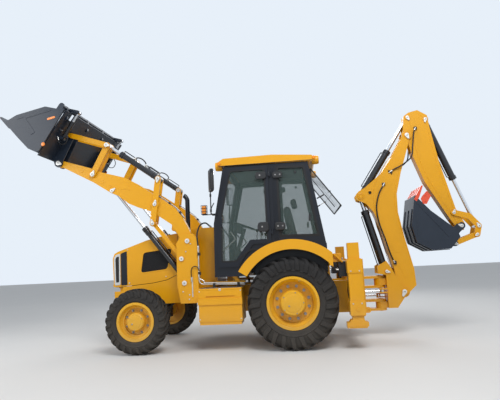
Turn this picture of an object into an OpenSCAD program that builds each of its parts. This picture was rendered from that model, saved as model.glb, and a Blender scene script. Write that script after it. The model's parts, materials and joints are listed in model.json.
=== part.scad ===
// Backhoe loader: +X forward, +Y to its left, +Z up, standing on z = 0.
// Profiles are drawn in side view as [x, z], with x = 0 at the rear axle, and pushed along Y.

/* [Stance] */
// Distance of the rear axle behind the part's origin
rear_axle_back = 745; // [600:1:900]
// Distance between the front and rear axles
wheelbase = 2357; // [2250:1:2500]
// Height of the steel cab floor
cab_floor_z = 1080; // [1060:1:1100]

/* [Wheels] */
// Outside radius of a rear tyre
rear_tyre_r = 670; // [640:1:690]
// Width of a rear tyre
rear_tyre_w = 430; // [380:1:450]
// Radius of the seat of a rear rim
rear_rim_r = 360; // [330:1:390]
// Distance of a rear wheel's middle from the centre line
rear_track_y = 865; // [840:1:890]
// Outside radius of a front tyre
front_tyre_r = 485; // [450:1:500]
// Width of a front tyre
front_tyre_w = 302; // [270:1:330]
// Radius of the seat of a front rim
front_rim_r = 265; // [240:1:280]
// Distance of a front wheel's middle from the centre line
front_track_y = 911; // [890:1:925]
// Distance of a steering pin from the centre line
kingpin_y = 690; // [670:1:700]

/* [Chassis] */
// Distance of a frame rail's inner face from the centre line
rail_y = 280; // [275:1:320]
// Thickness of a frame rail
rail_t = 100; // [60:1:110]
// Height of the frame rails' lower face
rail_z = 760; // [755:1:800]
// Depth of a frame rail
rail_h = 170; // [120:1:180]
// Half width of the hood and the cowl
hood_half_w = 430; // [400:1:450]
// Thickness of sheet metal panels
sheet = 8; // [5:0.5:12]

/* [Cab] */
// Half width of the cab across its side frames
cab_half_w = 760; // [740:1:775]
// Thickness of a cab side frame
cab_frame_t = 60; // [40:1:70]
// Thickness of the window glass
glass_t = 8; // [5:1:12]
// Thickness of a door
door_t = 30; // [24:1:40]

/* [Loader] */
// Distance of a loader arm's middle plane from the centre line
arm_y = 620; // [600:1:630]
// Width of a loader arm
arm_w = 100; // [80:1:100]
// Thickness of lever, ear and tower plates
plate_t = 25; // [20:1:25]
// Radius of the loader's pins
pin_r = 28; // [20:1:32]
// Half width of the loader bucket
bucket_half_w = 1150; // [1100:1:1180]

/* [Backhoe] */
// Half width of the boom
boom_half_w = 110; // [100:1:112]
// Thickness of the boom's side plates
boom_plate_t = 25; // [15:1:25]
// Half width of the dipper
dipper_half_w = 80; // [70:1:82]
// Half width of the backhoe bucket
hoe_bucket_half_w = 330; // [250:1:360]
// Half width of the rear frame over the stabiliser sleeves
rear_half_w = 1130; // [1100:1:1150]

/* [Hidden] */
$fn = 48;

yellow = [0.90, 0.60, 0.10];
black = [0.06, 0.07, 0.09];
slate = [0.14, 0.18, 0.24];
steel = [0.80, 0.81, 0.83];
rubber = [0.09, 0.09, 0.09];
tint = [0.45, 0.52, 0.50];

// Clearances: a pin in its bore, faces of one body that meet, and an eye between its cheeks
pin_gap = 0.1;
seat_gap = 0.3;
eye_gap = 0.5;
run_gap = 5;

// Loader linkage pins in side view, with the arms raised
arm_pivot = [1610, 1665];
link_foot = [1710, 1390];
lift_foot = [1672, 1012];
lever_mid = [2128, 2286];
lever_top = [2069, 2703];
lever_low = [2171, 1977];
front_mid = [3178, 2851];
front_top = [2925, 3326];
bucket_pin = [3775, 3085];
bucket_top_pin = [3552, 3540];
lift_top = [2858, 2558];
clam_hinge = [3480, 3905];
clam_rod_pin = [3328, 3860];
clam_foot = [3592, 3446];

// Hood hinge and the front axle
hood_hinge = [2880, 1000];
axle_z = front_tyre_r;
rear_z = rear_tyre_r;

// Backhoe pins in side view, folded for the road
swing_x = -1410;
boom_foot = [-1765, 700];
boom_cyl_foot = [-1518, 1031];
ear_pin = [-1216, 2275];
dipper_pin = [-2050, 3268];
dipper_rod_pin = [-2095, 3579];
bucket_cyl_foot = [-2383, 3524];
idler_pin = [-2669, 1919];
idler_rod_pin = [-3029, 1685];
idler_link_pin = [-2992, 1549];
nose_pin = [-2766, 1701];
hoe_link_pin = [-2636, 1421];

// Lateral places on the loader, counted from an arm's middle plane
arm_half = arm_w / 2;
lever_in = arm_half + run_gap;
lever_out = lever_in + plate_t;
link_in = lever_out + run_gap;
link_out = link_in + 20;
inner_tower_y = arm_y - lever_out;
outer_tower_y = arm_y + lever_out;

// Lift cylinders, between the cowl and the tower, so that a locked front wheel clears them
lift_y = 487;
lift_eye = 36;
lift_pin_r = 26;

// Lateral places on the backhoe
boom_in = boom_half_w - boom_plate_t;
post_in = boom_half_w + 8;
post_out = post_in + 30;
dipper_in = dipper_half_w - 20;
idler_in = dipper_half_w + 8;
idler_out = idler_in + 20;
ear_in = 62;
ear_out = 84;

function span(p, q) = norm(q - p);
function heading(p, q) = atan2(q[1] - p[1], q[0] - p[0]);
function along(p, q, d) = p + (q - p) * d / norm(q - p);

// Colour, and the shift from the rear axle to the part's origin
module piece(c) {
  color(c) translate([-rear_axle_back, 0, 0]) children();
}

// A side view profile pushed along Y from y0 to y1
module slab(y0, y1) {
  translate([0, y1, 0]) rotate([90, 0, 0]) linear_extrude(y1 - y0) children();
}

module both() {
  children();
  mirror([0, 1, 0]) children();
}

// A round ended bar of width w in side view, its sides 0.3 inside the ends' circles
module bar(p, q, w) {
  translate(p) circle(d = w);
  translate(q) circle(d = w);
  translate(p) rotate(heading(p, q)) translate([0, 0.3 - w / 2]) square([span(p, q), w - 0.6]);
}

// A bent strip of even width through several points
module strip(points, w) {
  for (i = [0 : len(points) - 2]) bar(points[i], points[i + 1], w);
}

// A pin or boss along Y at a side view point
module pin(p, r, y0, y1) {
  translate([p[0], y1, p[1]]) rotate([90, 0, 0]) cylinder(r = r, h = y1 - y0);
}

// A round bar between two side view points at lateral place y
module stick(p, q, r, y) {
  translate([p[0], y, p[1]]) rotate([0, 90 - heading(p, q), 0]) cylinder(r = r, h = span(p, q));
}

// Hydraulic barrel: eye at foot, bored tube towards head, gland ring at its mouth
module barrel(foot, head, body, r, rod_r, y, eye_r, eye_half, bore_r) {
  start = along(foot, head, eye_r * 0.8);
  mouth = along(foot, head, body);
  difference() {
    union() {
      stick(start, mouth, r, y);
      stick(along(foot, head, body - 60), mouth, r + 6, y);
      pin(foot, eye_r, y - eye_half, y + eye_half);
    }
    pin(foot, bore_r, y - eye_half - 1, y + eye_half + 1);
    stick(along(foot, head, eye_r + 40), along(foot, head, body - 50), r - 10, y);
    stick(along(foot, head, body - 60), along(foot, head, body + 1), rod_r + seat_gap, y);
  }
}

// Hydraulic rod: solid eye at tip, bar down into the barrel and the piston on its end
module rod(foot, tip, inside, r, rod_r, y, eye_r, eye_half) {
  end = along(foot, tip, inside);
  stick(end, along(tip, foot, eye_r * 0.7), rod_r, y);
  stick(end, along(end, tip, 50), r - 10 - seat_gap, y);
  pin(tip, eye_r, y - eye_half, y + eye_half);
}

// Heads of a pin that stops at the outer faces of a pair of plates
module pin_heads(p, r, y, out) {
  for (s = [-1, 1]) translate([0, y + s * out, 0])
    pin(p, r, min(0, s * 12), max(0, s * 12));
}

// Chassis

tower_base_z = 700;
tower_profile = [
  [1450, tower_base_z], [1450, 1700], [1520, 1775], [1700, 1775],
  [1790, 1640], [1790, 980], [1740, tower_base_z]
];
cowl_back_x = 1200;
fender_r = 920;
fender_lip = 145;
fender_y = 1060;
fender_front = 32;
sleeve_x = -900;
sleeve_half_x = 95;
sleeve_half_y = 80;
sleeve_y = rear_half_w - sleeve_half_y;
sleeve_low_z = 466;
sleeve_top_z = 1264;
leg_half_x = 80;
leg_half_y = 62;
rear_bar_x0 = -1000;
rear_bar_x1 = -880;
low_bar = [440, 570];
top_bar = [1100, 1230];
front_beam_x = 2850;
exhaust_at = [1690, 300];
exhaust_r = 38;
tow_r = 16.5;
lash_r = 20;
eye_x = sleeve_x - sleeve_half_x - 55;
eye_z = 540;

module box(x, y, z) {
  translate([x[0], y[0], z[0]]) cube([x[1] - x[0], y[1] - y[0], z[1] - z[0]]);
}

module fender_arch(r0, r1) {
  difference() {
    translate([-10, rear_z]) circle(r = r1, $fn = 96);
    translate([-10, rear_z]) circle(r = r0, $fn = 96);
    translate([-10, rear_z]) rotate(-180) translate([-2000, 0]) square([4000, 2000]);
    translate([-10, rear_z]) polygon([[0, 0], [2000, 2000 * tan(fender_front)], [2000, -10]]);
    translate([-2000, 0]) square([1390, 3000]);
  }
}

module fender() {
  slab(cab_half_w + seat_gap, fender_y) fender_arch(fender_r - sheet * 2, fender_r);
  slab(fender_y - sheet * 2, fender_y) fender_arch(fender_r - fender_lip, fender_r);
  // brackets back to the frame rail
  box([-600, -560.3], [cab_half_w - 160, fender_y], [1180, 1335]);
  box([-600, -560.3], [rail_y + rail_t, cab_half_w - 159], [1180, 1240]);
  box([-600, -560.3], [rail_y, rail_y + rail_t + 1], [rail_z + rail_h + seat_gap, 1240]);
}

module tower() {
  for (y = [inner_tower_y, outer_tower_y - plate_t])
    slab(y, y + plate_t) polygon(tower_profile);
  box([1450, 1740], [inner_tower_y, outer_tower_y], [tower_base_z, 900]);
  box([1480, 1740], [hood_half_w + seat_gap, inner_tower_y + 1], [rail_z, 900]);
  for (p = [arm_pivot, link_foot, lift_foot]) {
    pin(p, pin_r, inner_tower_y, outer_tower_y);
    pin(p, pin_r + 14, outer_tower_y, outer_tower_y + 12);
  }
  pin(lift_foot, pin_r, hood_half_w + 4, inner_tower_y + 1);
}

// Side plate of the front frame, under the cowl and the hood
skirt_profile = [
  [1240, 700], [1240, rail_z + rail_h - 1], [1842.3, rail_z + rail_h - 1], [1842.3, 1145],
  [2036, 1060], [2274, 1021],
  [2638, 992], [2780, 984], [2800, 912], [2925, 912], [2925, 730], [2860, 690], [1300, 690]
];

module skirt() {
  slab(hood_half_w - sheet, hood_half_w) polygon(skirt_profile);
  for (x = [1500, 2150, 2700])
    box([x, x + 60], [rail_y + rail_t + seat_gap, hood_half_w - sheet + 1], [rail_z + 10, rail_z + rail_h - 20]);
}

// Stabiliser sleeve with its collar, its foot box and the boss of the lock pin
collar_t = 10;
module sleeve_box(x, y, z) {
  box([sleeve_x - sleeve_half_x - x, sleeve_x + sleeve_half_x + x],
    [sleeve_y - sleeve_half_y - y, sleeve_y + sleeve_half_y + y], z);
}

module sleeve() {
  difference() {
    union() {
      sleeve_box(0, 0, [sleeve_low_z, sleeve_top_z]);
      sleeve_box(collar_t, collar_t, [1064, sleeve_top_z - 8]);
      sleeve_box(collar_t, collar_t, [sleeve_low_z + 12, 671]);
      pin([sleeve_x - 6, 568], 30, sleeve_y + sleeve_half_y, sleeve_y + sleeve_half_y + collar_t + 9);
    }
    box([sleeve_x - leg_half_x - seat_gap, sleeve_x + leg_half_x + seat_gap],
      [sleeve_y - leg_half_y - seat_gap, sleeve_y + leg_half_y + seat_gap],
      [sleeve_low_z - 1, sleeve_top_z + 1]);
  }
}

module rear_frame() {
  both() sleeve();
  for (z = [low_bar, top_bar])
    box([rear_bar_x0, rear_bar_x1], [-sleeve_y + sleeve_half_y - 1, sleeve_y - sleeve_half_y + 1], z);
  for (y = [-sleeve_y + sleeve_half_y, sleeve_y - sleeve_half_y - 120])
    box([rear_bar_x1 - 60, rear_bar_x1], [y, y + 120], [low_bar[0], top_bar[1]]);
}

module front_frame() {
  both() {
    box([rear_bar_x1 + seat_gap, front_beam_x], [rail_y, rail_y + rail_t], [rail_z, rail_z + rail_h]);
    box([rear_bar_x1 + seat_gap, -560], [rail_y, rail_y + rail_t], [low_bar[0], rail_z + 1]);
    box([850, 930], [rail_y + rail_t + seat_gap, 560 - seat_gap], [780, 900]);
    box([1110, 1190], [rail_y + rail_t + seat_gap, 560 - seat_gap], [780, 900]);
    for (x = [-400, 950])
      box([x, x + 100], [rail_y, rail_y + rail_t], [rail_z + rail_h - 1, cab_floor_z]);
    box([front_beam_x - 60, front_beam_x], [250, 380], [rail_z + rail_h - 1, 985]);
    slab(345, 375) bar([front_beam_x - 30, 960], hood_hinge, 40);
    pin(hood_hinge, 14, 345, 405);
  }
  box([wheelbase - 100, wheelbase + 100], [-rail_y - 1, rail_y + 1], [rail_z, rail_z + 60]);
  box([wheelbase - 100, wheelbase + 100], [-150, 150], [axle_z + 75 + seat_gap, rail_z + 1]);
  box([front_beam_x - 100, front_beam_x], [-rail_y - 1, rail_y + 1], [rail_z, rail_z + rail_h]);
}

module cowl() {
  base_z = rail_z + rail_h + seat_gap;
  difference() {
    slab(-hood_half_w, hood_half_w) polygon([
      [cowl_back_x, base_z], [cowl_back_x, 1880], [1500, 1880], [1842, 1812], [1842, base_z]]);
    slab(-hood_half_w + sheet, hood_half_w - sheet) polygon([
      [cowl_back_x + sheet, 0], [cowl_back_x + sheet, 1872], [1500 - 1, 1872],
      [1842 - sheet, 1806], [1842 - sheet, 0]]);
    translate([exhaust_at[0], exhaust_at[1], 1780]) cylinder(r = exhaust_r + seat_gap, h = 120);
  }
}

// Tow jaw at the nose
module tow_jaw() {
  jaw_x = front_beam_x + seat_gap;
  difference() {
    union() {
      for (z = [790, 880]) {
        box([jaw_x, front_beam_x + 70], [-60, 60], [z, z + 25]);
        translate([front_beam_x + 70, 0, z]) cylinder(r = 60, h = 25);
      }
      box([jaw_x, jaw_x + 20], [-60, 60], [790, 905]);
    }
    translate([front_beam_x + 70, 0, 700]) cylinder(r = tow_r, h = 300);
  }
}

// Lashing eye on the back of a stabiliser sleeve
module lashing_eye() {
  eye_from = sleeve_x - sleeve_half_x - collar_t - seat_gap;
  difference() {
    slab(sleeve_y - 15, sleeve_y + 15) bar([sleeve_x - 80, eye_z], [eye_x, eye_z], 80);
    pin([eye_x, eye_z], lash_r, sleeve_y - 20, sleeve_y + 20);
    box([eye_from, sleeve_x], [sleeve_y - 20, sleeve_y + 20], [eye_z - 60, eye_z + 60]);
  }
}

module chassis() {
  piece(yellow) {
    front_frame();
    rear_frame();
    cowl();
    tow_jaw();
    both() {
      tower();
      skirt();
      fender();
      lashing_eye();
    }
  }
}

module driveline() {
  piece([0.20, 0.20, 0.21]) {
    translate([wheelbase, 0, axle_z]) rotate([90, 0, 0]) cylinder(r = 70, h = 2 * kingpin_y - 60, center = true);
    box([wheelbase - 90, wheelbase + 90], [-140, 140], [axle_z - 120, axle_z + 75]);
    both() difference() {
      translate([wheelbase, kingpin_y, axle_z]) cylinder(r = 60, h = 190, center = true);
      translate([wheelbase, kingpin_y, axle_z]) cylinder(r = 26 + pin_gap, h = 200, center = true);
    }
    translate([0, 0, rear_z]) rotate([90, 0, 0]) cylinder(r = 85, h = 1240, center = true);
    translate([0, 0, rear_z]) rotate([90, 0, 0]) cylinder(r = 185, h = 300, center = true);
    both() {
      pin([0, rear_z], 62, 600, rear_track_y - 20);
      box([-90, 90], [rail_y + 5, rail_y + rail_t - 5], [rear_z + 50, rail_z]);
      box([1950, 2050], [200, rail_y + 50], [rail_z + rail_h, rail_z + rail_h + 60]);
      box([2550, 2650], [200, rail_y + 50], [rail_z + rail_h, rail_z + rail_h + 60]);
    }
    // valve blocks of the backhoe and the legs
    both() box([rear_bar_x1 + seat_gap, -700], [560, 880], [1010, 1225]);
    box([1900, 2700], [-250, 250], [rail_z + 65, 1440]);
    box([1000, 1900], [-200, 200], [rail_z - 60, rail_z + rail_h - 5]);
    stick([150, rear_z + 20], [1001, rail_z + 40], 45, 0);
    stick([1899, rail_z + 70], [wheelbase - 60, axle_z + 20], 35, -200);
  }
}

module side_boxes() {
  piece(yellow) both() {
    difference() {
      box([745, 1390], [560, 1000], [445, 925]);
      box([850, 1280], [985, 1001], [798, 815]);
    }
    // ledge of the flap, and the step
    box([737, 1398], [999, 1016], [690, 780]);
    box([760, 1380], [700, 990], [400, 446]);
  }
}

module cab_outline() {
  polygon([[1176, cab_floor_z], [1165, 1900], [985, 2800], [-355, 2800], [-560, 1464], [-560, cab_floor_z]]);
}

wheel_well = 770;
door_back_x = 275;
door_sill_z = 1225;
door_axis_x = 250;
// The door clears the fender with its hinge side and, as it swings, with its low front corner
door_arch_z = rear_z + sqrt(pow(fender_r, 2) - pow(door_axis_x + 10, 2)) + 6;
door_low_x = sqrt(pow(fender_r, 2) - pow(door_sill_z - rear_z, 2)) + 64;
door_profile = [
  [door_back_x, 2772], [918, 2772], [1090, 2032], [1118, door_sill_z],
  [door_low_x, door_sill_z], [560, door_arch_z], [door_back_x, door_arch_z]
];
door_open = [
  [door_back_x + 30, 2742], [893, 2742], [1058, 2028], [1086, door_sill_z + 32],
  [door_low_x + 18, door_sill_z + 32], [578, door_arch_z + 32], [door_back_x + 30, door_arch_z + 32]
];
door_window = [
  [door_back_x + 60, 2712], [868, 2712], [1024, 2024], [1046, door_sill_z + 90],
  [door_low_x + 48, door_sill_z + 90], [600, door_arch_z + 66], [door_back_x + 60, door_arch_z + 66]
];
door_y = cab_half_w + run_gap;
door_axis = [door_axis_x, cab_half_w + 40];
door_hinge_z = [1700, 2600];
hinge_r = 9;
quarter_window = [[135, 2740], [-290, 2725], [-455, 1640], [135, 1660]];

module side_frame() {
  slab(cab_half_w - cab_frame_t, cab_half_w) difference() {
    cab_outline();
    translate([-10, rear_z]) circle(r = wheel_well, $fn = 96);
    translate([-2000, 0]) square([2700, cab_floor_z + 60]);
    polygon(door_open);
    polygon(quarter_window);
  }
}

module cab_frame() {
  piece(black) {
    both() side_frame();
    // floor, front and rear cross members
    box([700, 1170], [-cab_half_w, cab_half_w], [cab_floor_z, cab_floor_z + 50]);
    box([-560, 710], [-620, 620], [cab_floor_z, cab_floor_z + 50]);
    both() slab(600, 620)
      polygon([[-560, cab_floor_z], [-560, 1480], [705, 1480], [705, cab_floor_z]]);
    both() slab(600, cab_half_w) polygon([[-560, 1450], [-560, 1480], [260, 1480], [260, 1450]]);
    slab(-cab_half_w + 1, cab_half_w - 1) {
      polygon([[1176, cab_floor_z], [1173, 1290], [1123, 1290], [1123, cab_floor_z]]);
      polygon([[1001, 2720], [985, 2800], [925, 2800], [941, 2720]]);
      polygon([[-367, 2720], [-355, 2800], [-295, 2800], [-307, 2720]]);
    }
    slab(-599, 599) polygon([[-560, cab_floor_z], [-560, 1520], [-520, 1520], [-520, cab_floor_z]]);
    both() slab(598, cab_half_w - 1) difference() {
      polygon([[-560, cab_floor_z], [-560, 1520], [-520, 1520], [-520, cab_floor_z]]);
      translate([-10, rear_z]) circle(r = wheel_well, $fn = 96);
    }
    both() cab_bracket();
    // sill and hinges of the rear window's open upper pane
    slab(-cab_half_w + 1, cab_half_w - 1)
      polygon([[-480, pane_sill_z + 0.3], [-476, pane_sill_z + 30],
        [-440, pane_sill_z + 30], [-444, pane_sill_z + 0.3]]);
    both() slab(380, 420) bar([-345, 2750], [-392, 2722], 24);
    // hinge pins of the doors, each between two brackets
    both() for (z = door_hinge_z) {
      translate([door_axis[0], door_axis[1], z - 13]) cylinder(r = hinge_r, h = 96);
      for (b = [z - 13, z + 71])
        box([door_axis[0] - 14, door_axis[0] + 14], [cab_half_w - 1, door_axis[1]], [b, b + 12]);
    }
  }
}

// Bracket of the mirror and the indicator, with the mirror's head
mirror_stalk = [1165, 940];
rear_pane = [[-389, 2705], [-833, 2074]];
pane_sill_z = 1930;

module cab_bracket() {
  box([1100, 1180], [cab_half_w - 1, cab_half_w + 12], [2034, 2066]);
  pin([mirror_stalk[0], 2050], 10, cab_half_w, mirror_stalk[1]);
  translate([mirror_stalk[0], mirror_stalk[1], 2050]) cylinder(r = 9, h = 420);
  translate([mirror_stalk[0] - 15, mirror_stalk[1], 2399]) rotate([0, 0, 20])
    translate([-25, -100, 0]) cube([50, 200, 330]);
  box([mirror_stalk[0], 1330], [790, 806], [2044, 2056]);
}

module cab_roof() {
  piece(yellow) {
    slab(-cab_half_w - 30, cab_half_w + 30) polygon([
      [1065, 2815], [1065, 2870], [975, 2928], [200, 2938], [-420, 2890], [-470, 2840], [-445, 2800]]);
  }
}

module cab_glass() {
  piece(tint) {
    // windscreen, rear window and quarter windows, each set in its frame
    slab(-cab_half_w + cab_frame_t + 1, cab_half_w - cab_frame_t - 1)
      polygon([[1150, 1290.3], [1139, 1900], [975, 2719],
        [975 - glass_t, 2719], [1139 - glass_t, 1898], [1142, 1290.3]]);
    both() slab(cab_half_w - 30, cab_half_w - 30 + glass_t)
      polygon([[134.7, 2739.7], [-289.8, 2724.7], [-454.6, 1640.4], [134.7, 1660.3]]);
    slab(-cab_half_w + cab_frame_t + 1, cab_half_w - cab_frame_t - 1)
      polygon([[-472, pane_sill_z], [-535, 1520.3], [-527, 1520.3], [-464, pane_sill_z]]);
    slab(-cab_half_w + cab_frame_t + 20, cab_half_w - cab_frame_t - 20)
      polygon(concat(rear_pane, [rear_pane[1] + [-6.6, 4.6], rear_pane[0] + [-6.6, 4.6]]));
  }
}

module operator_station() {
  piece([0.12, 0.12, 0.13]) {
    box([50, 400], [-180, 180], [cab_floor_z + 50.3, 1480]);
    box([10, 470], [-250, 250], [1480, 1600]);
    slab(-240, 240) polygon([[20, 1590], [-130, 2180], [-20, 2200], [130, 1600]]);
    box([850, 1000], [-90, 90], [cab_floor_z + 50.3, 1500]);
    stick([900, 1490], [760, 1900], 30, 0);
    translate([760, 0, 1900]) rotate([0, -22, 0]) {
      rotate_extrude() translate([185, 0]) circle(r = 16);
      cylinder(r = 45, h = 24, center = true);
      for (a = [0, 120, 240]) rotate([0, 90, a]) cylinder(r = 11, h = 180);
    }
    both() box([50, 620], [400, 560], [cab_floor_z + 50.3, 1560]);
  }
}

module exhaust() {
  piece(black) {
    translate([exhaust_at[0], exhaust_at[1], 1800]) cylinder(r = exhaust_r, h = 560);
    translate([exhaust_at[0] + 110, exhaust_at[1], 2360]) rotate([90, 0, 0])
      rotate_extrude(angle = 60, start = 120) translate([110, 0]) circle(r = exhaust_r);
  }
}

module lamps() {
  piece([0.95, 0.75, 0.45]) {
    both() {
      translate([1065.3, 620, 2840]) rotate([0, 90, 0]) cylinder(r = 60, h = 60);
      translate([-540.3, 620, 2840]) rotate([0, 90, 0]) cylinder(r = 55, h = 70);
    }
    both() box([1262, 1338], [758, 838], [2056.3, 2200]);
    translate([880, 0, 2930.3]) cylinder(r = 60, h = 12);
    translate([880, 0, 2942]) cylinder(r = 50, h = 90);
  }
}

// Hood

hood_profile = [
  [1850, 1150], [2040, 1068], [2276, 1029], [2639, 1000], [2935, 985], [2955, 1450],
  [2925, 1530], [2860, 1565], [2374, 1725], [2100, 1781], [1850, 1815]
];
hood_inner = [
  [1800, 900], [2935 - sheet, 900], [2955 - sheet, 1450], [2918, 1522],
  [2856, 1557], [2372, 1717], [2099, 1773], [1800, 1813]
];
vent_profile = [[2433, 1533], [1931, 1582], [2019, 1232], [2483, 1189]];
grille_half_w = 330;

module hood() {
  piece(yellow) {
    difference() {
      slab(-hood_half_w, hood_half_w) polygon(hood_profile);
      slab(-hood_half_w + sheet, hood_half_w - sheet) polygon(hood_inner);
      slab(-hood_half_w - 1, hood_half_w + 1) polygon(vent_profile);
      box([2900, 3000], [-grille_half_w, grille_half_w], [1030, 1430]);
    }
    both() difference() {
      slab(385, hood_half_w - sheet + 1) bar(hood_hinge, [2930, 1010], 44);
      pin(hood_hinge, 14 + pin_gap, 380, hood_half_w + 10);
    }
  }
}

module grilles() {
  piece([0.62, 0.62, 0.60]) {
    // nose grille with its bars, and the mesh behind each side vent
    difference() {
      box([2938, 2950], [-grille_half_w + seat_gap, grille_half_w - seat_gap], [1030.3, 1429.7]);
      for (i = [0 : 6]) box([2930, 2960], [-grille_half_w + 30, grille_half_w - 30], [1055 + i * 54, 1089 + i * 54]);
    }
    both() slab(hood_half_w - sheet + 1, hood_half_w - 2) offset(delta = -0.3) polygon(vent_profile);
  }
}

// Doors

module door() {
  difference() {
    slab(door_y, door_y + door_t) polygon(door_profile);
    slab(door_y - 1, door_y + door_t + 1) polygon(door_window);
  }
  for (z = door_hinge_z) difference() {
    union() {
      translate([door_axis[0], door_axis[1], z]) cylinder(r = hinge_r + 7, h = 70);
      box([door_axis[0], door_back_x + 20], [door_y + door_t - 1, door_axis[1] + 4], [z + 5, z + 65]);
    }
    translate([door_axis[0], door_axis[1], z - 1]) cylinder(r = hinge_r + pin_gap, h = 72);
  }
  box([1020, 1060], [door_y + door_t - 1, door_y + door_t + 40], [1850, 2000]);
}

module door_glass() {
  slab(door_y + 12, door_y + 12 + glass_t) offset(delta = -0.3) polygon(door_window);
}

module door_left() { piece(black) door(); }
module door_right() { piece(black) mirror([0, 1, 0]) door(); }
module door_left_glass() { piece(tint) door_glass(); }
module door_right_glass() { piece(tint) mirror([0, 1, 0]) door_glass(); }

// Wheels

// Tyre turned about Y, its middle at y
module tyre(r, w, rim_r) {
  h = w / 2;
  bead = h * 0.72;
  rotate([90, 0, 0]) rotate_extrude($fn = 72) polygon([
    [rim_r + seat_gap, -bead], [rim_r + 26, -bead], [rim_r + 45, -bead - 12], [rim_r + (r - rim_r) * 0.55, -h],
    [r - 48, -h + 6], [r - 14, -h + 22], [r, -h * 0.55],
    [r, h * 0.55], [r - 14, h - 22], [r - 48, h - 6],
    [rim_r + (r - rim_r) * 0.55, h], [rim_r + 45, bead + 12], [rim_r + 26, bead], [rim_r + seat_gap, bead]
  ]);
}

// Rim with its disc, planetary hub and bore; outward is +Y
module rim(rim_r, w, hub_r, spindle_r, depth) {
  bead = w / 2 * 0.72;
  difference() {
    union() {
      rotate([90, 0, 0]) rotate_extrude($fn = 72) {
        translate([rim_r - 14, -bead - 14]) square([14, 2 * bead + 28]);
        for (s = [-1, 1]) translate([rim_r - 8, s * (bead + 7.15) - 6.85]) square([30, 13.7]);
      }
      rotate([-90, 0, 0]) cylinder(r = rim_r - 5, h = 16);
      rotate([-90, 0, 0]) cylinder(r = hub_r, h = w / 2 - 30);
      translate([0, -depth, 0]) rotate([-90, 0, 0]) cylinder(r = hub_r - 10, h = depth + 1);
    }
    translate([0, -depth - 1, 0]) rotate([-90, 0, 0]) cylinder(r = spindle_r + pin_gap, h = depth + 31);
  }
}

module rear_tyre() { translate([0, rear_track_y, rear_z]) tyre(rear_tyre_r, rear_tyre_w, rear_rim_r); }
module rear_rim() { translate([0, rear_track_y, rear_z]) rim(rear_rim_r, rear_tyre_w, 158, 62, 150); }
module front_tyre() { translate([wheelbase, front_track_y, axle_z]) tyre(front_tyre_r, front_tyre_w, front_rim_r); }
module front_rim() { translate([wheelbase, front_track_y, axle_z]) rim(front_rim_r, front_tyre_w, 122, 50, 90); }

module rear_tyre_left() { piece(rubber) rear_tyre(); }
module rear_tyre_right() { piece(rubber) mirror([0, 1, 0]) rear_tyre(); }
module rear_rim_left() { piece(yellow) rear_rim(); }
module rear_rim_right() { piece(yellow) mirror([0, 1, 0]) rear_rim(); }
module front_tyre_left() { piece(rubber) front_tyre(); }
module front_tyre_right() { piece(rubber) mirror([0, 1, 0]) front_tyre(); }
module front_rim_left() { piece(yellow) front_rim(); }
module front_rim_right() { piece(yellow) mirror([0, 1, 0]) front_rim(); }

// Steering knuckle: fork around the axle end, steering pin and wheel spindle
module knuckle() {
  translate([wheelbase, 0, axle_z]) {
    for (s = [-1, 1]) translate([0, kingpin_y, s * 115]) cylinder(r = 58, h = 30, center = true);
    for (s = [-1, 1]) box([-55, 55], [kingpin_y, kingpin_y + 85], [min(s * 100, s * 130), max(s * 100, s * 130)]);
    box([-55, 55], [kingpin_y + 68, kingpin_y + 90], [-130, 130]);
    translate([0, kingpin_y, 0]) cylinder(r = 26, h = 231, center = true);
    translate([0, kingpin_y + 80, 0]) rotate([-90, 0, 0]) cylinder(r = 50, h = front_track_y - kingpin_y - 60);
  }
}

module knuckle_left() { piece([0.20, 0.20, 0.21]) knuckle(); }
module knuckle_right() { piece([0.20, 0.20, 0.21]) mirror([0, 1, 0]) knuckle(); }

// Loader arms

arm_top = [
  [3775, 3147], [3660, 3105], [3229, 2965], [3038, 2880], [2644, 2765], [2424, 2640],
  [2158, 2455], [2026, 2370], [1800, 2200], [1680, 2040], [1540, 1750]
];
arm_low = [
  [1680, 1628], [1758, 1760], [1868, 1945], [2048, 2072], [2194, 2175], [2411, 2252],
  [2572, 2327], [2757, 2471], [2879, 2526], [3175, 2720], [3735, 3025]
];

module arm() {
  difference() {
    slab(-arm_half, arm_half) {
      polygon(concat(arm_top, arm_low));
      translate(arm_pivot) circle(r = 80);
      translate(bucket_pin) circle(r = 62);
    }
    for (p = [arm_pivot, lever_mid, front_mid, bucket_pin])
      pin(p, pin_r + pin_gap, -arm_half - 1, arm_half + 1);
  }
  pin(lift_top, pin_r + 10, arm_half - 1, arm_half + 9);
}

cross_tube = [3029, 2765];

module loader_arms() {
  piece(yellow) {
    both() translate([0, arm_y, 0]) arm();
    pin(cross_tube, 50, -arm_y + arm_half - 2, arm_y - arm_half + 2);
  }
}

// One rear lever: a plate on each side of the arm and its middle pin
module rear_lever() {
  for (s = [-1, 1]) difference() {
    slab(min(s * lever_in, s * lever_out), max(s * lever_in, s * lever_out)) {
      bar(lever_top, lever_mid, 95);
      bar(lever_mid, lever_low, 95);
      translate(lever_mid) circle(d = 130);
    }
    pin(lever_top, pin_r + pin_gap, -lever_out - 1, lever_out + 1);
  }
  pin(lever_mid, pin_r, -lever_out - 10, lever_out + 10);
  pin_heads(lever_low, pin_r + 10, 0, lever_out);
}

module rear_levers() { piece(yellow) both() translate([0, arm_y, 0]) rear_lever(); }

module lower_links() {
  piece(yellow) both() translate([0, arm_y, 0]) difference() {
    union() {
      slab(-22, 22) bar(link_foot, lever_low, 60);
      for (p = [link_foot, lever_low]) pin(p, 46, -lever_in + eye_gap, lever_in - eye_gap);
    }
    pin(link_foot, pin_r + pin_gap, -lever_in, lever_in);
  }
}

module lever_top_pins() {
  piece(steel) both() translate([0, arm_y, 0]) {
    pin(lever_top, pin_r, -lever_out - 3, lever_out + 3);
    pin_heads(lever_top, pin_r + 10, 0, lever_out + 0.5);
  }
}

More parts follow.
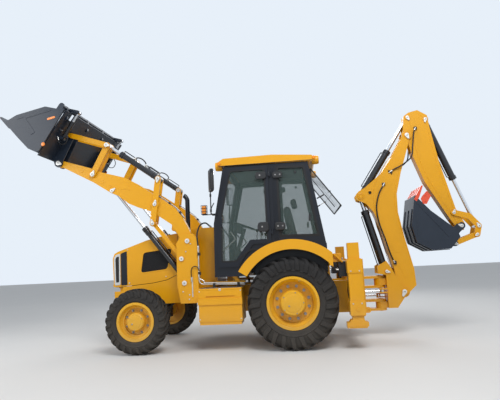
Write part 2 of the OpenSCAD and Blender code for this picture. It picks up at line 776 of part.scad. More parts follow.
module front_lever_pins() {
  piece(steel) both() translate([0, arm_y, 0]) {
    pin(front_mid, pin_r, -lever_out - 3, lever_out + 3);
    pin_heads(front_mid, pin_r + 10, 0, lever_out + 0.5);
  }
}

module bucket_hinge_pins() {
  piece(steel) both() translate([0, arm_y, 0]) {
    pin(bucket_pin, pin_r, -lever_out - 3, lever_out + 3);
    pin_heads(bucket_pin, pin_r + 10, 0, lever_out + 0.5);
  }
}

// Stub pins that leave the middle free for the tilt rod's eye
module link_pins() {
  piece(steel) both() translate([0, arm_y, 0]) for (s = [-1, 1]) {
    pin(front_top, pin_r, min(s * lever_in, s * (link_out + 3)), max(s * lever_in, s * (link_out + 3)));
    translate([0, s * (link_out + 0.5), 0]) pin(front_top, pin_r + 10, min(0, s * 12), max(0, s * 12));
  }
}

module front_levers() {
  piece(yellow) both() translate([0, arm_y, 0]) for (s = [-1, 1]) difference() {
    slab(min(s * lever_in, s * lever_out), max(s * lever_in, s * lever_out)) {
      bar(front_mid, front_top, 100);
    }
    for (p = [front_mid, front_top]) pin(p, pin_r + pin_gap, -lever_out - 1, lever_out + 1);
  }
}

module bucket_links() {
  piece(yellow) both() translate([0, arm_y, 0]) for (s = [-1, 1]) {
    difference() {
      slab(min(s * link_in, s * link_out), max(s * link_in, s * link_out)) bar(front_top, bucket_top_pin, 84);
      pin(front_top, pin_r + pin_gap, -link_out - 1, link_out + 1);
    }
  }
  piece(yellow) both() translate([0, arm_y, 0]) pin_heads(bucket_top_pin, pin_r + 10, 0, link_out);
}

tilt_r = 55;
tilt_rod_r = 28;
tilt_body = 800;
module tilt_barrels() {
  piece(black) both() translate([0, arm_y, 0])
    barrel(lever_top, front_top, tilt_body, tilt_r - 8, tilt_rod_r, 0, 48, lever_in - eye_gap, pin_r + pin_gap);
}

module tilt_rods() {
  piece(steel) both() translate([0, arm_y, 0])
    rod(lever_top, front_top, 110, tilt_r - 8, tilt_rod_r, 0, 46, lever_in - eye_gap);
}

lift_r = 46;
lift_rod_r = 27;
lift_body = 1090;
module lift_barrels() {
  piece(black) both()
    barrel(lift_foot, lift_top, lift_body, lift_r, lift_rod_r, lift_y, 58, 50, pin_r + pin_gap);
}

module lift_rods() {
  piece(steel) both() {
    rod(lift_foot, lift_top, lift_body - 200, lift_r, lift_rod_r, lift_y, 48, lift_eye);
    pin(lift_top, lift_pin_r, lift_y + lift_eye - 1, arm_y - arm_half - seat_gap);
  }
}

// Loader bucket: back with its ears, and the opening clam

blade = [[3420, 3830], [3500, 3720], [3680, 3460], [3850, 3200], [3885, 3140]];
ear_profile = [
  [3715, 3080], [3510, 3500], [3520, 3570], [3590, 3600], [3690, 3450],
  [3870, 3160], [3840, 3060], [3790, 3020]
];

module bucket_back() {
  piece(slate) {
    difference() {
      slab(-bucket_half_w + 38, bucket_half_w - 38) strip(blade, 20);
      both() box([3300, 3520], [838, 926], [3735, 3900]);
    }
    both() translate([0, arm_y, 0]) {
      for (s = [-1, 1]) difference() {
        union() {
          slab(min(s * lever_in, s * lever_out), max(s * lever_in, s * lever_out)) {
            polygon(ear_profile);
            translate(bucket_pin) circle(r = 70);
            translate(bucket_top_pin) circle(r = 55);
          }
          pin(bucket_top_pin, 42, min(s * lever_in, s * (link_in - eye_gap)), max(s * lever_in, s * (link_in - eye_gap)));
        }
        pin(bucket_pin, pin_r + pin_gap, -lever_out - 1, lever_out + 1);
      }
    }
    // hinge lugs of the clam
    for (y = [-1000, -300, 300, 1000]) difference() {
      slab(y - 20, y + 20) {
        bar([3490, 3740], clam_hinge, 70);
      }
      pin(clam_hinge, 20 + pin_gap, y - 30, y + 30);
    }
    // feet of the clam cylinders
    both() for (y = [840, 910]) slab(y, y + 14) bar(clam_foot, [3680, 3462], 50);
    both() pin(clam_foot, 20, 840, 924);
  }
}

clam_floor = [[3890, 3182], [4034, 3253], [4225, 3461], [4400, 3665], [4505, 3785]];
clam_side = [
  [3425, 3850], [3850, 3192], [3900, 3178], [4034, 3243], [4225, 3451], [4400, 3655], [4420, 3720],
  [4243, 3813], [3755, 3914], [3571, 3864]
];

module bucket_clam() {
  piece(slate) {
    both() slab(bucket_half_w - 26, bucket_half_w) {
      polygon(clam_side);
      bar(clam_hinge, [3570, 3780], 90);
    }
    slab(-bucket_half_w + 20, bucket_half_w - 20) strip(clam_floor, 20);
    slab(-bucket_half_w, bucket_half_w) bar([4360, 3618], [4508, 3790], 34);
    // hinge pin tube and the levers that the cylinders push
    for (s = [[-bucket_half_w, -1020.5], [-979.5, -320.5], [-279.5, 279.5], [320.5, 979.5], [1020.5, bucket_half_w]])
      pin(clam_hinge, 32, s[0], s[1]);
    pin(clam_hinge, 20, -bucket_half_w, bucket_half_w);
    both() for (y = [845, 903]) slab(y, y + 16) bar(clam_hinge, clam_rod_pin, 60);
    both() for (y = [833, 919]) pin(clam_rod_pin, 26, y, y + 12);
  }
}

module clam_barrels() {
  piece(black) both() barrel(clam_foot, clam_rod_pin, 315, 34, 17, 882, 34, 27, 20 + pin_gap);
}

module clam_rods() {
  piece(steel) both() rod(clam_foot, clam_rod_pin, 208, 34, 17, 882, 28, 20);
}

// Backhoe

carriage_half_y = 240;
carriage_x = [-1140, rear_bar_x0 - seat_gap];
lug_r = 85;
lug_t = 40;
post_low = [450, 550];
post_top = [810, 920];
rod_left_z = 730;
rod_right_z = 632;

module carriage() {
  piece(yellow) difference() {
    union() {
      box(carriage_x, [-carriage_half_y, carriage_half_y], [400, 1250]);
      for (z = [post_low[0] - lug_t - 1, post_low[1] + 1, post_top[0] - lug_t - 1, post_top[1] + 1]) {
        translate([swing_x, 0, z]) cylinder(r = lug_r, h = lug_t);
        box([swing_x, carriage_x[0] + 1], [-lug_r, lug_r], [z, z + lug_t]);
      }
      for (z = [post_low, post_top]) translate([swing_x, 0, z[0] - lug_t - 10]) cylinder(r = 35, h = z[1] - z[0] + 2 * lug_t + 20);
    }
    box([carriage_x[0] - 1, carriage_x[1] + 1], [-220, 220], [rod_right_z - 27, rod_left_z + 27]);
  }
}

post_profile = [
  [-1502, 975], [-1375, 1000], [-1375, 1120], [-1523, 1197], [-1580, 1110], [-1720, 810],
  [-1850, 700], [-1765, 610], [-1644, 450], [-1502, 450]
];

module kingpost() {
  piece(yellow) difference() {
    union() {
      both() slab(post_in, post_out) polygon(post_profile);
      for (z = [post_low, post_top]) {
        translate([swing_x, 0, z[0]]) cylinder(r = lug_r, h = z[1] - z[0]);
        box([-1560, swing_x], [-lug_r, lug_r], z);
        box([-1560, -1505], [-post_in - 1, post_in + 1], z);
      }
      box([-1545, -1505], [-post_in - 1, post_in + 1], [post_low[0], 880]);
      pin(boom_foot, 45, -post_out - 15, post_out + 15);
      pin(boom_cyl_foot, 32, -post_out - 15, post_out + 15);
      // ears for the swing rods, one above the other
      for (e = [[1, rod_left_z], [-1, rod_right_z]]) {
        for (z = [e[1] - 37, e[1] + 19.5])
          box([swing_x - 95, swing_x + 35],
            [min(e[0] * (post_out - 1), e[0] * 215), max(e[0] * (post_out - 1), e[0] * 215)], [z, z + 17.5]);
        translate([swing_x, e[0] * 180, e[1] - 37]) cylinder(r = 18, h = 74);
      }
    }
    for (z = [post_low, post_top]) translate([swing_x, 0, z[0] - 1]) cylinder(r = 35 + pin_gap, h = z[1] - z[0] + 2);
  }
}

module swing_rod(y, z) {
  difference() {
    union() {
      translate([swing_x, y, z - 19]) cylinder(r = 34, h = 38);
      translate([swing_x + 25, y, z]) rotate([0, 90, 0]) cylinder(r = 17, h = 290);
    }
    translate([swing_x, y, z - 20]) cylinder(r = 18 + pin_gap, h = 40);
  }
}

module swing_rod_left() { piece(steel) swing_rod(180, rod_left_z); }
module swing_rod_right() { piece(steel) swing_rod(-180, rod_right_z); }

boom_front = [
  [-1685, 760], [-1640, 1089], [-1494, 1744], [-1400, 2003], [-1290, 2150], [-1150, 2220],
  [-1130, 2290], [-1180, 2360], [-1290, 2420], [-1572, 2637], [-1752, 2887], [-1965, 3240]
];
boom_back = [
  [-2125, 3310], [-2040, 3048], [-1951, 2792], [-1897, 2640], [-1799, 2285], [-1790, 1980],
  [-1856, 1560], [-1960, 1050], [-1970, 788], [-1850, 680]
];
web_front = [
  [-1640, 1089], [-1494, 1744], [-1400, 2003], [-1360, 2120], [-1380, 2300], [-1572, 2637], [-1752, 2887]
];
web_back = [[-1951, 2792], [-1897, 2640], [-1799, 2285], [-1790, 1980], [-1856, 1560], [-1940, 1150]];

module boom() {
  piece(yellow) difference() {
    union() {
      both() slab(boom_in, boom_half_w) {
        polygon(concat(boom_front, boom_back));
        translate(boom_foot) circle(r = 95);
        translate(dipper_pin) circle(r = 82);
      }
      slab(-boom_in - 1, boom_in + 1) intersection() {
        polygon(concat(boom_front, boom_back));
        union() {
          strip(web_front, 40);
          strip(web_back, 40);
        }
      }
      pin(boom_foot, 62, -boom_in - 1, boom_in + 1);
      for (s = [-1, 1]) pin(ear_pin, 30, min(s * 42, s * (boom_half_w + 12)), max(s * 42, s * (boom_half_w + 12)));
      pin(dipper_pin, 36, -boom_half_w - 12, boom_half_w + 12);
    }
    pin(boom_foot, 45 + pin_gap, -boom_half_w - 1, boom_half_w + 1);
  }
}

dipper_profile = [
  [-2060, 3180], [-2000, 3330], [-2035, 3600], [-2120, 3660], [-2269, 3692], [-2420, 3590],
  [-2440, 3380], [-2536, 2772], [-2713, 1985], [-2830, 1730], [-2800, 1630], [-2720, 1630],
  [-2600, 1830], [-2272, 2454], [-2110, 2950]
];
dipper_web = [[-2110, 2950], [-2272, 2454], [-2600, 1830]];
dipper_back_web = [[-2516, 2900], [-2536, 2772], [-2713, 1985]];

module dipper() {
  piece(yellow) difference() {
    union() {
      both() slab(dipper_in, dipper_half_w) polygon(dipper_profile);
      slab(-dipper_in - 1, dipper_in + 1) intersection() {
        polygon(dipper_profile);
        union() {
          strip(dipper_web, 36);
          strip(dipper_back_web, 36);
        }
      }
      for (p = [idler_pin, nose_pin]) pin(p, 48, -dipper_in - 1, dipper_in + 1);
      pin(dipper_pin, 58, -dipper_half_w, dipper_half_w);
      pin(idler_pin, 28, -idler_out - 3, idler_out + 3);
      pin(nose_pin, 30, -ear_out - 20, ear_out + 20);
      pin(bucket_cyl_foot, 30, -dipper_half_w - 12, dipper_half_w + 12);
      pin_heads(dipper_rod_pin, 40, 0, dipper_half_w);
    }
    pin(dipper_pin, 36 + pin_gap, -boom_half_w - 20, boom_half_w + 20);
  }
}

module hoe_bucket() {
  piece(slate) {
    // shell: floor and back in one bent strip, closed by its cheeks
    slab(-hoe_bucket_half_w, hoe_bucket_half_w)
      strip([[-2030, 2200], [-1995, 2001], [-1945, 1731], [-2000, 1475], [-2221, 1345], [-2489, 1352],
        [-2640, 1520], [-2600, 1620]], 24);
    both() slab(hoe_bucket_half_w - 20, hoe_bucket_half_w) polygon([
      [-2030, 2210], [-1995, 2001], [-1945, 1731], [-2000, 1475], [-2221, 1345], [-2489, 1352],
      [-2640, 1520], [-2600, 1640], [-2250, 1950]]);
    both() difference() {
      slab(ear_in + 30, ear_out + 30) {
        bar([-2560, 1420], hoe_link_pin, 90);
        bar([-2620, 1580], nose_pin, 110);
        polygon([[-2560, 1380], [-2640, 1480], [-2766, 1650], [-2700, 1740], [-2560, 1600]]);
      }
      pin(nose_pin, 30 + pin_gap, 0, 200);
    }
    pin(hoe_link_pin, 26, -ear_out - 40, ear_out + 40);
    for (i = [-2 : 2]) slab(i * 150 - 30, i * 150 + 30) polygon([[-2015, 2120], [-2050, 2120], [-2160, 2350], [-2140, 2350]]);
  }
}

module idler() {
  piece(yellow) both() {
    difference() {
      slab(idler_in, idler_out) {
        bar(idler_pin, [-2900, 1850], 90);
        bar([-2900, 1850], idler_rod_pin, 90);
        bar(idler_rod_pin, idler_link_pin, 90);
      }
      pin(idler_pin, 28 + pin_gap, 0, 200);
    }
    pin(idler_rod_pin, 38, idler_out - 1, idler_out + 10);
    pin(idler_link_pin, 38, idler_out - 1, idler_out + 10);
  }
}

module hoe_link() {
  piece(yellow) difference() {
    union() {
      both() slab(ear_in, ear_out) bar(idler_link_pin, hoe_link_pin, 80);
      pin(hoe_link_pin, 40, -ear_in - 1, ear_in + 1);
    }
    pin(hoe_link_pin, 26 + pin_gap, -200, 200);
  }
}

module boom_barrel() {
  piece(black) barrel(boom_cyl_foot, ear_pin, 1040, 60, 34, 0, 58, 100, 32 + pin_gap);
}
module boom_rod() {
  piece(steel) rod(boom_cyl_foot, ear_pin, 150, 60, 34, 0, 52, 38);
}

module dipper_barrel() {
  piece(black) {
    difference() {
      union() {
        barrel(along(ear_pin, dipper_rod_pin, 70), dipper_rod_pin, 850, 56, 32, 0, 20, 30, 1);
        both() slab(42, 70) bar(ear_pin, along(ear_pin, dipper_rod_pin, 100), 90);
      }
      pin(ear_pin, 30 + pin_gap, -100, 100);
      pin(ear_pin, 62, -41.5, 41.5);
    }
  }
}
module dipper_rod() {
  piece(steel) rod(along(ear_pin, dipper_rod_pin, 70), dipper_rod_pin, 650, 56, 32, 0, 50, dipper_in - eye_gap);
}

module hoe_bucket_barrel() {
  piece(black) barrel(bucket_cyl_foot, idler_rod_pin, 1110, 54, 30, 0, 52, dipper_in - eye_gap, 30 + pin_gap);
}
module hoe_bucket_rod() {
  piece(steel) rod(bucket_cyl_foot, idler_rod_pin, 900, 54, 30, 0, 48, 58);
}

// Stabiliser leg: inner column, foot and toothed pad
module leg() {
  translate([0, sleeve_y, 0]) {
    box([sleeve_x - leg_half_x, sleeve_x + leg_half_x], [-leg_half_y, leg_half_y], [380, 1490]);
    slab(-70, 70) polygon([
      [-740, 384], [-740, 330], [-770, 303], [-1000, 303], [-1035, 330], [-1035, 384]]);
  }
}

module leg_left() { piece(yellow) leg(); }
module leg_right() { piece(yellow) mirror([0, 1, 0]) leg(); }

chassis();
driveline();
side_boxes();
cab_frame();
cab_roof();
cab_glass();
operator_station();
exhaust();
lamps();
hood();
grilles();
door_left();
door_left_glass();
door_right();
door_right_glass();
rear_tyre_left();
rear_rim_left();
rear_tyre_right();
rear_rim_right();
front_tyre_left();
front_rim_left();
front_tyre_right();
front_rim_right();
knuckle_left();
knuckle_right();
loader_arms();
rear_levers();
lower_links();
lever_top_pins();
front_lever_pins();
link_pins();
bucket_hinge_pins();
tilt_barrels();
tilt_rods();
front_levers();
bucket_links();
bucket_back();
bucket_clam();
clam_barrels();
clam_rods();
lift_barrels();
lift_rods();
carriage();
kingpost();
swing_rod_left();
swing_rod_right();
boom();
dipper();
hoe_bucket();
idler();
hoe_link();
boom_barrel();
boom_rod();
dipper_barrel();
dipper_rod();
hoe_bucket_barrel();
hoe_bucket_rod();
leg_left();
leg_right();
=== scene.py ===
import json
from math import atan2, cos, pi, radians, sin

import bmesh
import bpy
from mathutils import Matrix, Vector


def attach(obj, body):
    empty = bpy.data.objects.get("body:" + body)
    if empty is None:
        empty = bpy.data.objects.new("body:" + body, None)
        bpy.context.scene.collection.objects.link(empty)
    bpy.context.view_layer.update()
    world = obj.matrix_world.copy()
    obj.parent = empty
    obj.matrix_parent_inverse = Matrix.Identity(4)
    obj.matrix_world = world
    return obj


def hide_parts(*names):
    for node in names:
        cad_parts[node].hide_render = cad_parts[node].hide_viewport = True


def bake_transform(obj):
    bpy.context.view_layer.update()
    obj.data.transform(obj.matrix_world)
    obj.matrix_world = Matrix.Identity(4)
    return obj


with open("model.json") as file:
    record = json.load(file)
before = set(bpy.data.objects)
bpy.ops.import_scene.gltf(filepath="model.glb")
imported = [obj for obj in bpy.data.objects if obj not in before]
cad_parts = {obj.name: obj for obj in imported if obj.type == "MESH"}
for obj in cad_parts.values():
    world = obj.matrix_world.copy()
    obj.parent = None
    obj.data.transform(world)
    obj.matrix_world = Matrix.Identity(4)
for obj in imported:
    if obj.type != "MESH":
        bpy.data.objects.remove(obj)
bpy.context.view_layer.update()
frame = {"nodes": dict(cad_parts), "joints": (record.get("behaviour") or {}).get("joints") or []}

nodes = frame["nodes"]
joints = {joint["name"]: joint for joint in frame["joints"]}
rearAxle = joints["rear_wheel_left_spin"]["pos_m"][0]
photoWidth, sensorWidth = 500, 36


def at(x, y, z):
    return Vector((rearAxle + x / 1000, y / 1000, z / 1000))


def pinAt(name):
    x, _, z = joints[name]["pos_m"]
    return ((x - rearAxle) * 1000, z * 1000)


# Camera, fitted to pins and edges of the model that the photograph shows
camera = {"place": (-0.880, 7.573, 1.294), "yaw": 5.95, "pitch": 7.91, "roll": -2.86, "focalPixels": 442.6}
cameraData = bpy.data.cameras.new("camera")
cameraData.sensor_width = sensorWidth
cameraData.lens = camera["focalPixels"] * sensorWidth / photoWidth
cameraData.clip_end = 200
cameraObject = bpy.data.objects.new("camera", cameraData)
bpy.context.collection.objects.link(cameraObject)
turn = Matrix.Rotation(radians(camera["yaw"]), 4, "Z")
level = turn @ Matrix.Rotation(radians(180), 4, "Z") @ Matrix.Rotation(radians(90 + camera["pitch"]), 4, "X")
cameraObject.matrix_world = Matrix.Translation(camera["place"]) @ level @ Matrix.Rotation(
    radians(camera["roll"]), 4, "Z"
)
bpy.context.scene.camera = cameraObject


# Materials: colour patches, fine bump and dust that gathers low on the machine
def surface(
    name, colour, rough, metal=0.0, coat=0.0, patches=(2.5, 0.06), grain=(90, 0.015), dust=(0.0, 0.9),
    spread=0.06
):
    made = bpy.data.materials.new(name)
    made.use_nodes = True
    tree = made.node_tree
    shader = tree.nodes["Principled BSDF"]
    shader.inputs["Metallic"].default_value = metal
    shader.inputs["Coat Weight"].default_value = coat
    shader.inputs["Coat Roughness"].default_value = 0.12
    shader.inputs["Specular IOR Level"].default_value = 0.38

    def node(kind, **values):
        new = tree.nodes.new(kind)
        for key, value in values.items():
            if key in new.inputs:
                new.inputs[key].default_value = value
        return new

    place = tree.nodes.new("ShaderNodeTexCoord")
    patch = node("ShaderNodeTexNoise", Scale=patches[0], Detail=5.0, Roughness=0.6)
    tree.links.new(place.outputs["Object"], patch.inputs["Vector"])
    tint = tree.nodes.new("ShaderNodeMix")
    tint.data_type = "RGBA"
    low = [max(0.0, value * (1 - patches[1] * 2)) for value in colour[:3]]
    high = [min(1.0, value * (1 + patches[1] * 2) + patches[1] * 0.02) for value in colour[:3]]
    tint.inputs["A"].default_value = (*low, 1)
    tint.inputs["B"].default_value = (*high, 1)
    tree.links.new(patch.outputs["Fac"], tint.inputs["Factor"])
    last = tint.outputs["Result"]
    if dust[0] > 0:
        split = tree.nodes.new("ShaderNodeSeparateXYZ")
        tree.links.new(place.outputs["Object"], split.inputs["Vector"])
        height = tree.nodes.new("ShaderNodeMapRange")
        height.inputs["From Min"].default_value = dust[1]
        height.inputs["From Max"].default_value = 0.0
        height.inputs["To Max"].default_value = dust[0]
        tree.links.new(split.outputs["Z"], height.inputs["Value"])
        cloud = node("ShaderNodeTexNoise", Scale=7.0, Detail=8.0, Roughness=0.7)
        tree.links.new(place.outputs["Object"], cloud.inputs["Vector"])
        amount = tree.nodes.new("ShaderNodeMath")
        amount.operation = "MULTIPLY"
        tree.links.new(height.outputs["Result"], amount.inputs[0])
        tree.links.new(cloud.outputs["Fac"], amount.inputs[1])
        dirty = tree.nodes.new("ShaderNodeMix")
        dirty.data_type = "RGBA"
        dirty.inputs["B"].default_value = (0.30, 0.25, 0.19, 1)
        tree.links.new(amount.outputs[0], dirty.inputs["Factor"])
        tree.links.new(last, dirty.inputs["A"])
        last = dirty.outputs["Result"]
    tree.links.new(last, shader.inputs["Base Color"])
    gloss = tree.nodes.new("ShaderNodeMapRange")
    gloss.inputs["To Min"].default_value = max(0.02, rough - spread)
    gloss.inputs["To Max"].default_value = min(1.0, rough + spread)
    tree.links.new(patch.outputs["Fac"], gloss.inputs["Value"])
    tree.links.new(gloss.outputs["Result"], shader.inputs["Roughness"])
    if grain[1] > 0:
        fine = node("ShaderNodeTexNoise", Scale=grain[0], Detail=3.0)
        tree.links.new(place.outputs["Object"], fine.inputs["Vector"])
        bump = node("ShaderNodeBump", Strength=grain[1] * 10, Distance=0.002)
        tree.links.new(fine.outputs["Fac"], bump.inputs["Height"])
        tree.links.new(bump.outputs["Normal"], shader.inputs["Normal"])
    return made


def clear(name, colour, alpha, rough=0.03):
    made = surface(name, colour, rough, patches=(1.2, 0.05), grain=(20, 0), spread=0.01)
    shader = made.node_tree.nodes["Principled BSDF"]
    shader.inputs["Alpha"].default_value = alpha
    shader.inputs["IOR"].default_value = 1.5
    return made


yellow = surface(
    "yellow paint", (0.74, 0.345, 0.004), 0.34, coat=0.12, patches=(1.6, 0.035), grain=(55, 0.006),
    dust=(0.45, 0.8)
)
yellowRim = surface(
    "rim paint", (0.78, 0.395, 0.004), 0.34, coat=0.12, patches=(3, 0.05), grain=(60, 0.008),
    dust=(0.5, 1.1)
)
black = surface("black paint", (0.006, 0.008, 0.014), 0.30, coat=0.06, grain=(60, 0.008), dust=(0.05, 1.2))
navy = surface("bucket paint", (0.012, 0.019, 0.032), 0.38, coat=0.12, patches=(3, 0.12), grain=(45, 0.012))
barrelPaint = surface("cylinder paint", (0.010, 0.011, 0.014), 0.20, coat=0.5, grain=(70, 0.004))
chrome = surface(
    "chrome", (0.78, 0.79, 0.81), 0.07, metal=1.0, patches=(8, 0.03), grain=(200, 0.002), spread=0.03
)
zinc = surface("zinc plate", (0.62, 0.61, 0.58), 0.33, metal=0.85, patches=(20, 0.10), grain=(120, 0.02))
iron = surface("cast iron", (0.022, 0.023, 0.026), 0.55, patches=(5, 0.2), grain=(60, 0.05), dust=(0.5, 0.8))
rubber = surface(
    "tyre rubber", (0.010, 0.0095, 0.010), 0.80, patches=(6, 0.22), grain=(140, 0.05), dust=(0.26, 1.3)
)
hoseRubber = surface("hose rubber", (0.010, 0.010, 0.011), 0.5, grain=(260, 0.06))
seal = surface("window seal", (0.008, 0.008, 0.009), 0.6, grain=(150, 0.03))
mould = surface("moulded plastic", (0.018, 0.019, 0.021), 0.55, grain=(300, 0.08))
trim = surface("cab trim", (0.030, 0.031, 0.034), 0.7, grain=(260, 0.08))
cloth = surface("seat cloth", (0.045, 0.047, 0.052), 0.9, patches=(30, 0.25), grain=(420, 0.12))
glass = clear("tinted glass", (0.085, 0.125, 0.115), 0.34)
grillePaint = surface("grille paint", (0.56, 0.57, 0.56), 0.42, coat=0.2, patches=(4, 0.06))
amber = clear("amber lens", (0.95, 0.30, 0.02), 0.92, 0.12)
whiteLens = clear("clear lens", (0.86, 0.87, 0.88), 0.55, 0.08)
redTooth = surface("tooth paint", (0.72, 0.085, 0.035), 0.42, coat=0.2, patches=(6, 0.12))
wornSteel = surface("worn steel", (0.33, 0.32, 0.31), 0.42, metal=0.9, patches=(18, 0.25), grain=(90, 0.05))
brass = surface("valve brass", (0.62, 0.44, 0.16), 0.35, metal=0.9, patches=(20, 0.1), grain=(120, 0.02))
pinPaint = surface(
    "pin plate zinc", (0.74, 0.74, 0.71), 0.38, metal=0.35, patches=(14, 0.07), grain=(90, 0.02)
)
reflector = surface("orange reflector", (0.90, 0.24, 0.02), 0.25, coat=0.4, grain=(200, 0.03))
# near-black material for painted shade: sheets and discs that stand in for the shade inside the nose, the
# side vents, the engine bay and a hole in the boom
paintedShade = surface("painted shade", (0.008, 0.008, 0.009), 0.85)

print("materials done")


# Helpers: side view points are [x, z] in millimetres from the rear axle, y in millimetres
def finished(name, bm, material, body, bevel=0.0, sharp=32):
    mesh = bpy.data.meshes.new(name)
    bmesh.ops.recalc_face_normals(bm, faces=bm.faces)
    for face in bm.faces:
        face.smooth = True
    for edge in bm.edges:
        edge.smooth = len(edge.link_faces) == 2 and edge.calc_face_angle(0) < radians(sharp)
    bm.to_mesh(mesh)
    bm.free()
    mesh.materials.append(material)
    piece = bpy.data.objects.new(name, mesh)
    bpy.context.collection.objects.link(piece)
    if bevel:
        edge = piece.modifiers.new("edge", "BEVEL")
        edge.width = bevel / 1000
        edge.segments = 2
        edge.limit_method = "ANGLE"
        edge.angle_limit = radians(sharp)
        edge.harden_normals = False
    if body:
        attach(piece, body)
    return piece


def onSide(side, points):
    return [(x, side * y, z) for x, y, z in points]


def placedOn(side, points):
    return [at(*point) for point in onSide(side, points)]


def joinRings(bm, rings, closed=True):
    # quads from each ring to the next one, and from the last back to the first
    for lower, upper in zip(rings, rings[1:] + rings[:1] if closed else rings[1:]):
        for i in range(len(lower)):
            j = (i + 1) % len(lower)
            bm.faces.new((lower[i], lower[j], upper[j], upper[i]))


def prismInto(bm, profile, y0, y1):
    ends = [[bm.verts.new(at(x, y, z)) for x, z in profile] for y in (y0, y1)]
    count = len(profile)
    bm.faces.new(ends[0])
    bm.faces.new(list(reversed(ends[1])))
    for i in range(count):
        bm.faces.new((ends[0][i], ends[1][i], ends[1][(i + 1) % count], ends[0][(i + 1) % count]))


def block(x, z):
    return [(x[0], z[0]), (x[1], z[0]), (x[1], z[1]), (x[0], z[1])]


def roundBar(p, q, r, s=None, steps=10):
    # outline of a bar with a round end of radius r at p and s at q
    s = r if s is None else s
    heading = atan2(q[1] - p[1], q[0] - p[0])
    outline = []
    for centre, radius, start in ((q, s, -pi / 2), (p, r, pi / 2)):
        for i in range(steps + 1):
            a = heading + start + pi * i / steps
            outline.append((centre[0] + radius * cos(a), centre[1] + radius * sin(a)))
    return outline


def turnedInto(bm, profile, origin, axis, steps=40, loop=False):
    # profile: [radius, height along the axis] in millimetres, from radius 0 to 0 or a closed loop
    axis = Vector(axis).normalized()
    side = axis.orthogonal().normalized()
    other = axis.cross(side)
    rings = []
    for radius, height in profile:
        base = origin + axis * (height / 1000)
        if radius < 0.01:
            rings.append([bm.verts.new(base)])
        else:
            rings.append(
                [
                    bm.verts.new(
                        base + (
                            side * cos(2 * pi * i / steps) + other * sin(2 * pi * i / steps)
                        ) * (radius / 1000)
                    )
                    for i in range(steps)
                ]
            )
    pairs = list(zip(rings, rings[1:])) + ([(rings[-1], rings[0])] if loop else [])
    for lower, upper in pairs:
        for i in range(steps):
            j = (i + 1) % steps
            if len(lower) == 1:
                bm.faces.new((lower[0], upper[i], upper[j]))
            elif len(upper) == 1:
                bm.faces.new((lower[i], lower[j], upper[0]))
            else:
                bm.faces.new((lower[i], lower[j], upper[j], upper[i]))


def turned(name, profile, origin, axis, material, body, steps=40):
    bm = bmesh.new()
    turnedInto(bm, profile, origin, axis, steps)
    return finished(name, bm, material, body)


def boltInto(bm, origin, axis, radius, height, sides=6):
    turnedInto(
        bm, [(0, 0), (radius, 0), (radius, height * 0.8), (radius * 0.82, height), (0, height)], origin,
        axis, sides
    )


def smoothPath(points, steps=8):
    # Catmull-Rom curve through the points
    full = [points[0] * 2 - points[1]] + list(points) + [points[-1] * 2 - points[-2]]
    path = []
    for a, b, c, d in zip(full, full[1:], full[2:], full[3:]):
        for i in range(steps):
            t = i / steps
            path.append(
                0.5 * (
                    (2 * b) + (c - a) * t + (
                        2 * a - 5 * b + 4 * c - d
                    ) * t * t + (3 * b - a - 3 * c + d) * t ** 3
                )
            )
    return path + [points[-1]]


def bentPath(points, radius, steps=6):
    # straight runs with their corners rounded, as a bent steel pipe
    path = [points[0]]
    for before, corner, after in zip(points, points[1:], points[2:]):
        into, out = (before - corner), (after - corner)
        cut = min(radius / 1000, into.length * 0.45, out.length * 0.45)
        start, end = corner + into.normalized() * cut, corner + out.normalized() * cut
        for i in range(steps + 1):
            t = i / steps
            path.append(start * (1 - t) ** 2 + corner * (2 * t * (1 - t)) + end * t * t)
    return path + [points[-1]]


def tubeInto(bm, path, radius, sides=12, closed=True):
    radius /= 1000
    tangent = (path[1] - path[0]).normalized()
    side = tangent.orthogonal().normalized()
    rings = []
    for i, point in enumerate(path):
        before, after = path[max(0, i - 1)], path[min(len(path) - 1, i + 1)]
        new = (after - before).normalized()
        side = (tangent.rotation_difference(new) @ side).normalized()
        side = (side - new * side.dot(new)).normalized()
        tangent = new
        other = new.cross(side)
        rings.append(
            [
                bm.verts.new(
                    point + (side * cos(2 * pi * k / sides) + other * sin(2 * pi * k / sides)) * radius
                )
                for k in range(sides)
            ]
        )
    joinRings(bm, rings, False)
    if closed:
        bm.faces.new(rings[0])
        bm.faces.new(rings[-1])


def hose(name, points, diameter, body, blendTo=None):
    path = smoothPath([at(*p) for p in points])
    bm = bmesh.new()
    tubeInto(bm, path, diameter / 2)
    piece = finished(name, bm, hoseRubber, None if blendTo else body)
    # crimped ferrules with their nuts
    for end, (tip, inner) in enumerate(((path[0], path[1]), (path[-1], path[-2]))):
        holder = blendTo if blendTo and end else body
        out = (inner - tip).normalized()
        r = diameter / 2
        fitting = bmesh.new()
        turnedInto(
            fitting,
            [
                (0, -34), (r * 0.9, -34), (r * 0.9, -14), (r * 1.45, -12), (r * 1.45, 2), (r * 1.22, 4),
                (r * 1.3, 14), (r * 1.22, 20), (r * 1.3, 28), (r * 1.15, 34), (r * 1.02, 36), (0, 36)
            ],
            tip, out, 16
        )
        finished(f"{name}_ferrule_{end}", fitting, zinc, holder)
    if blendTo:
        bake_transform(piece)
    return piece


def rounded(corners, radius, steps=5):
    loop = []
    for i, corner in enumerate(corners):
        before, here, after = (
            Vector(corners[i - 1]), Vector(corner), Vector(corners[(i + 1) % len(corners)])
        )
        into, out = before - here, after - here
        cut = min(radius, into.length * 0.45, out.length * 0.45)
        start, end = here + into.normalized() * cut, here + out.normalized() * cut
        for k in range(steps + 1):
            t = k / steps
            loop.append(tuple(start * (1 - t) ** 2 + here * (2 * t * (1 - t)) + end * t * t))
    return loop


def sideways(x, z, y):
    return at(x, y, z)


def frameInto(bm, outer, inner, low, high, place=sideways):
    # a flat frame between two outlines, which place() turns into points in space
    corners = ((outer, low), (outer, high), (inner, high), (inner, low))
    joinRings(bm, [[bm.verts.new(place(u, v, depth)) for u, v in line] for line, depth in corners])


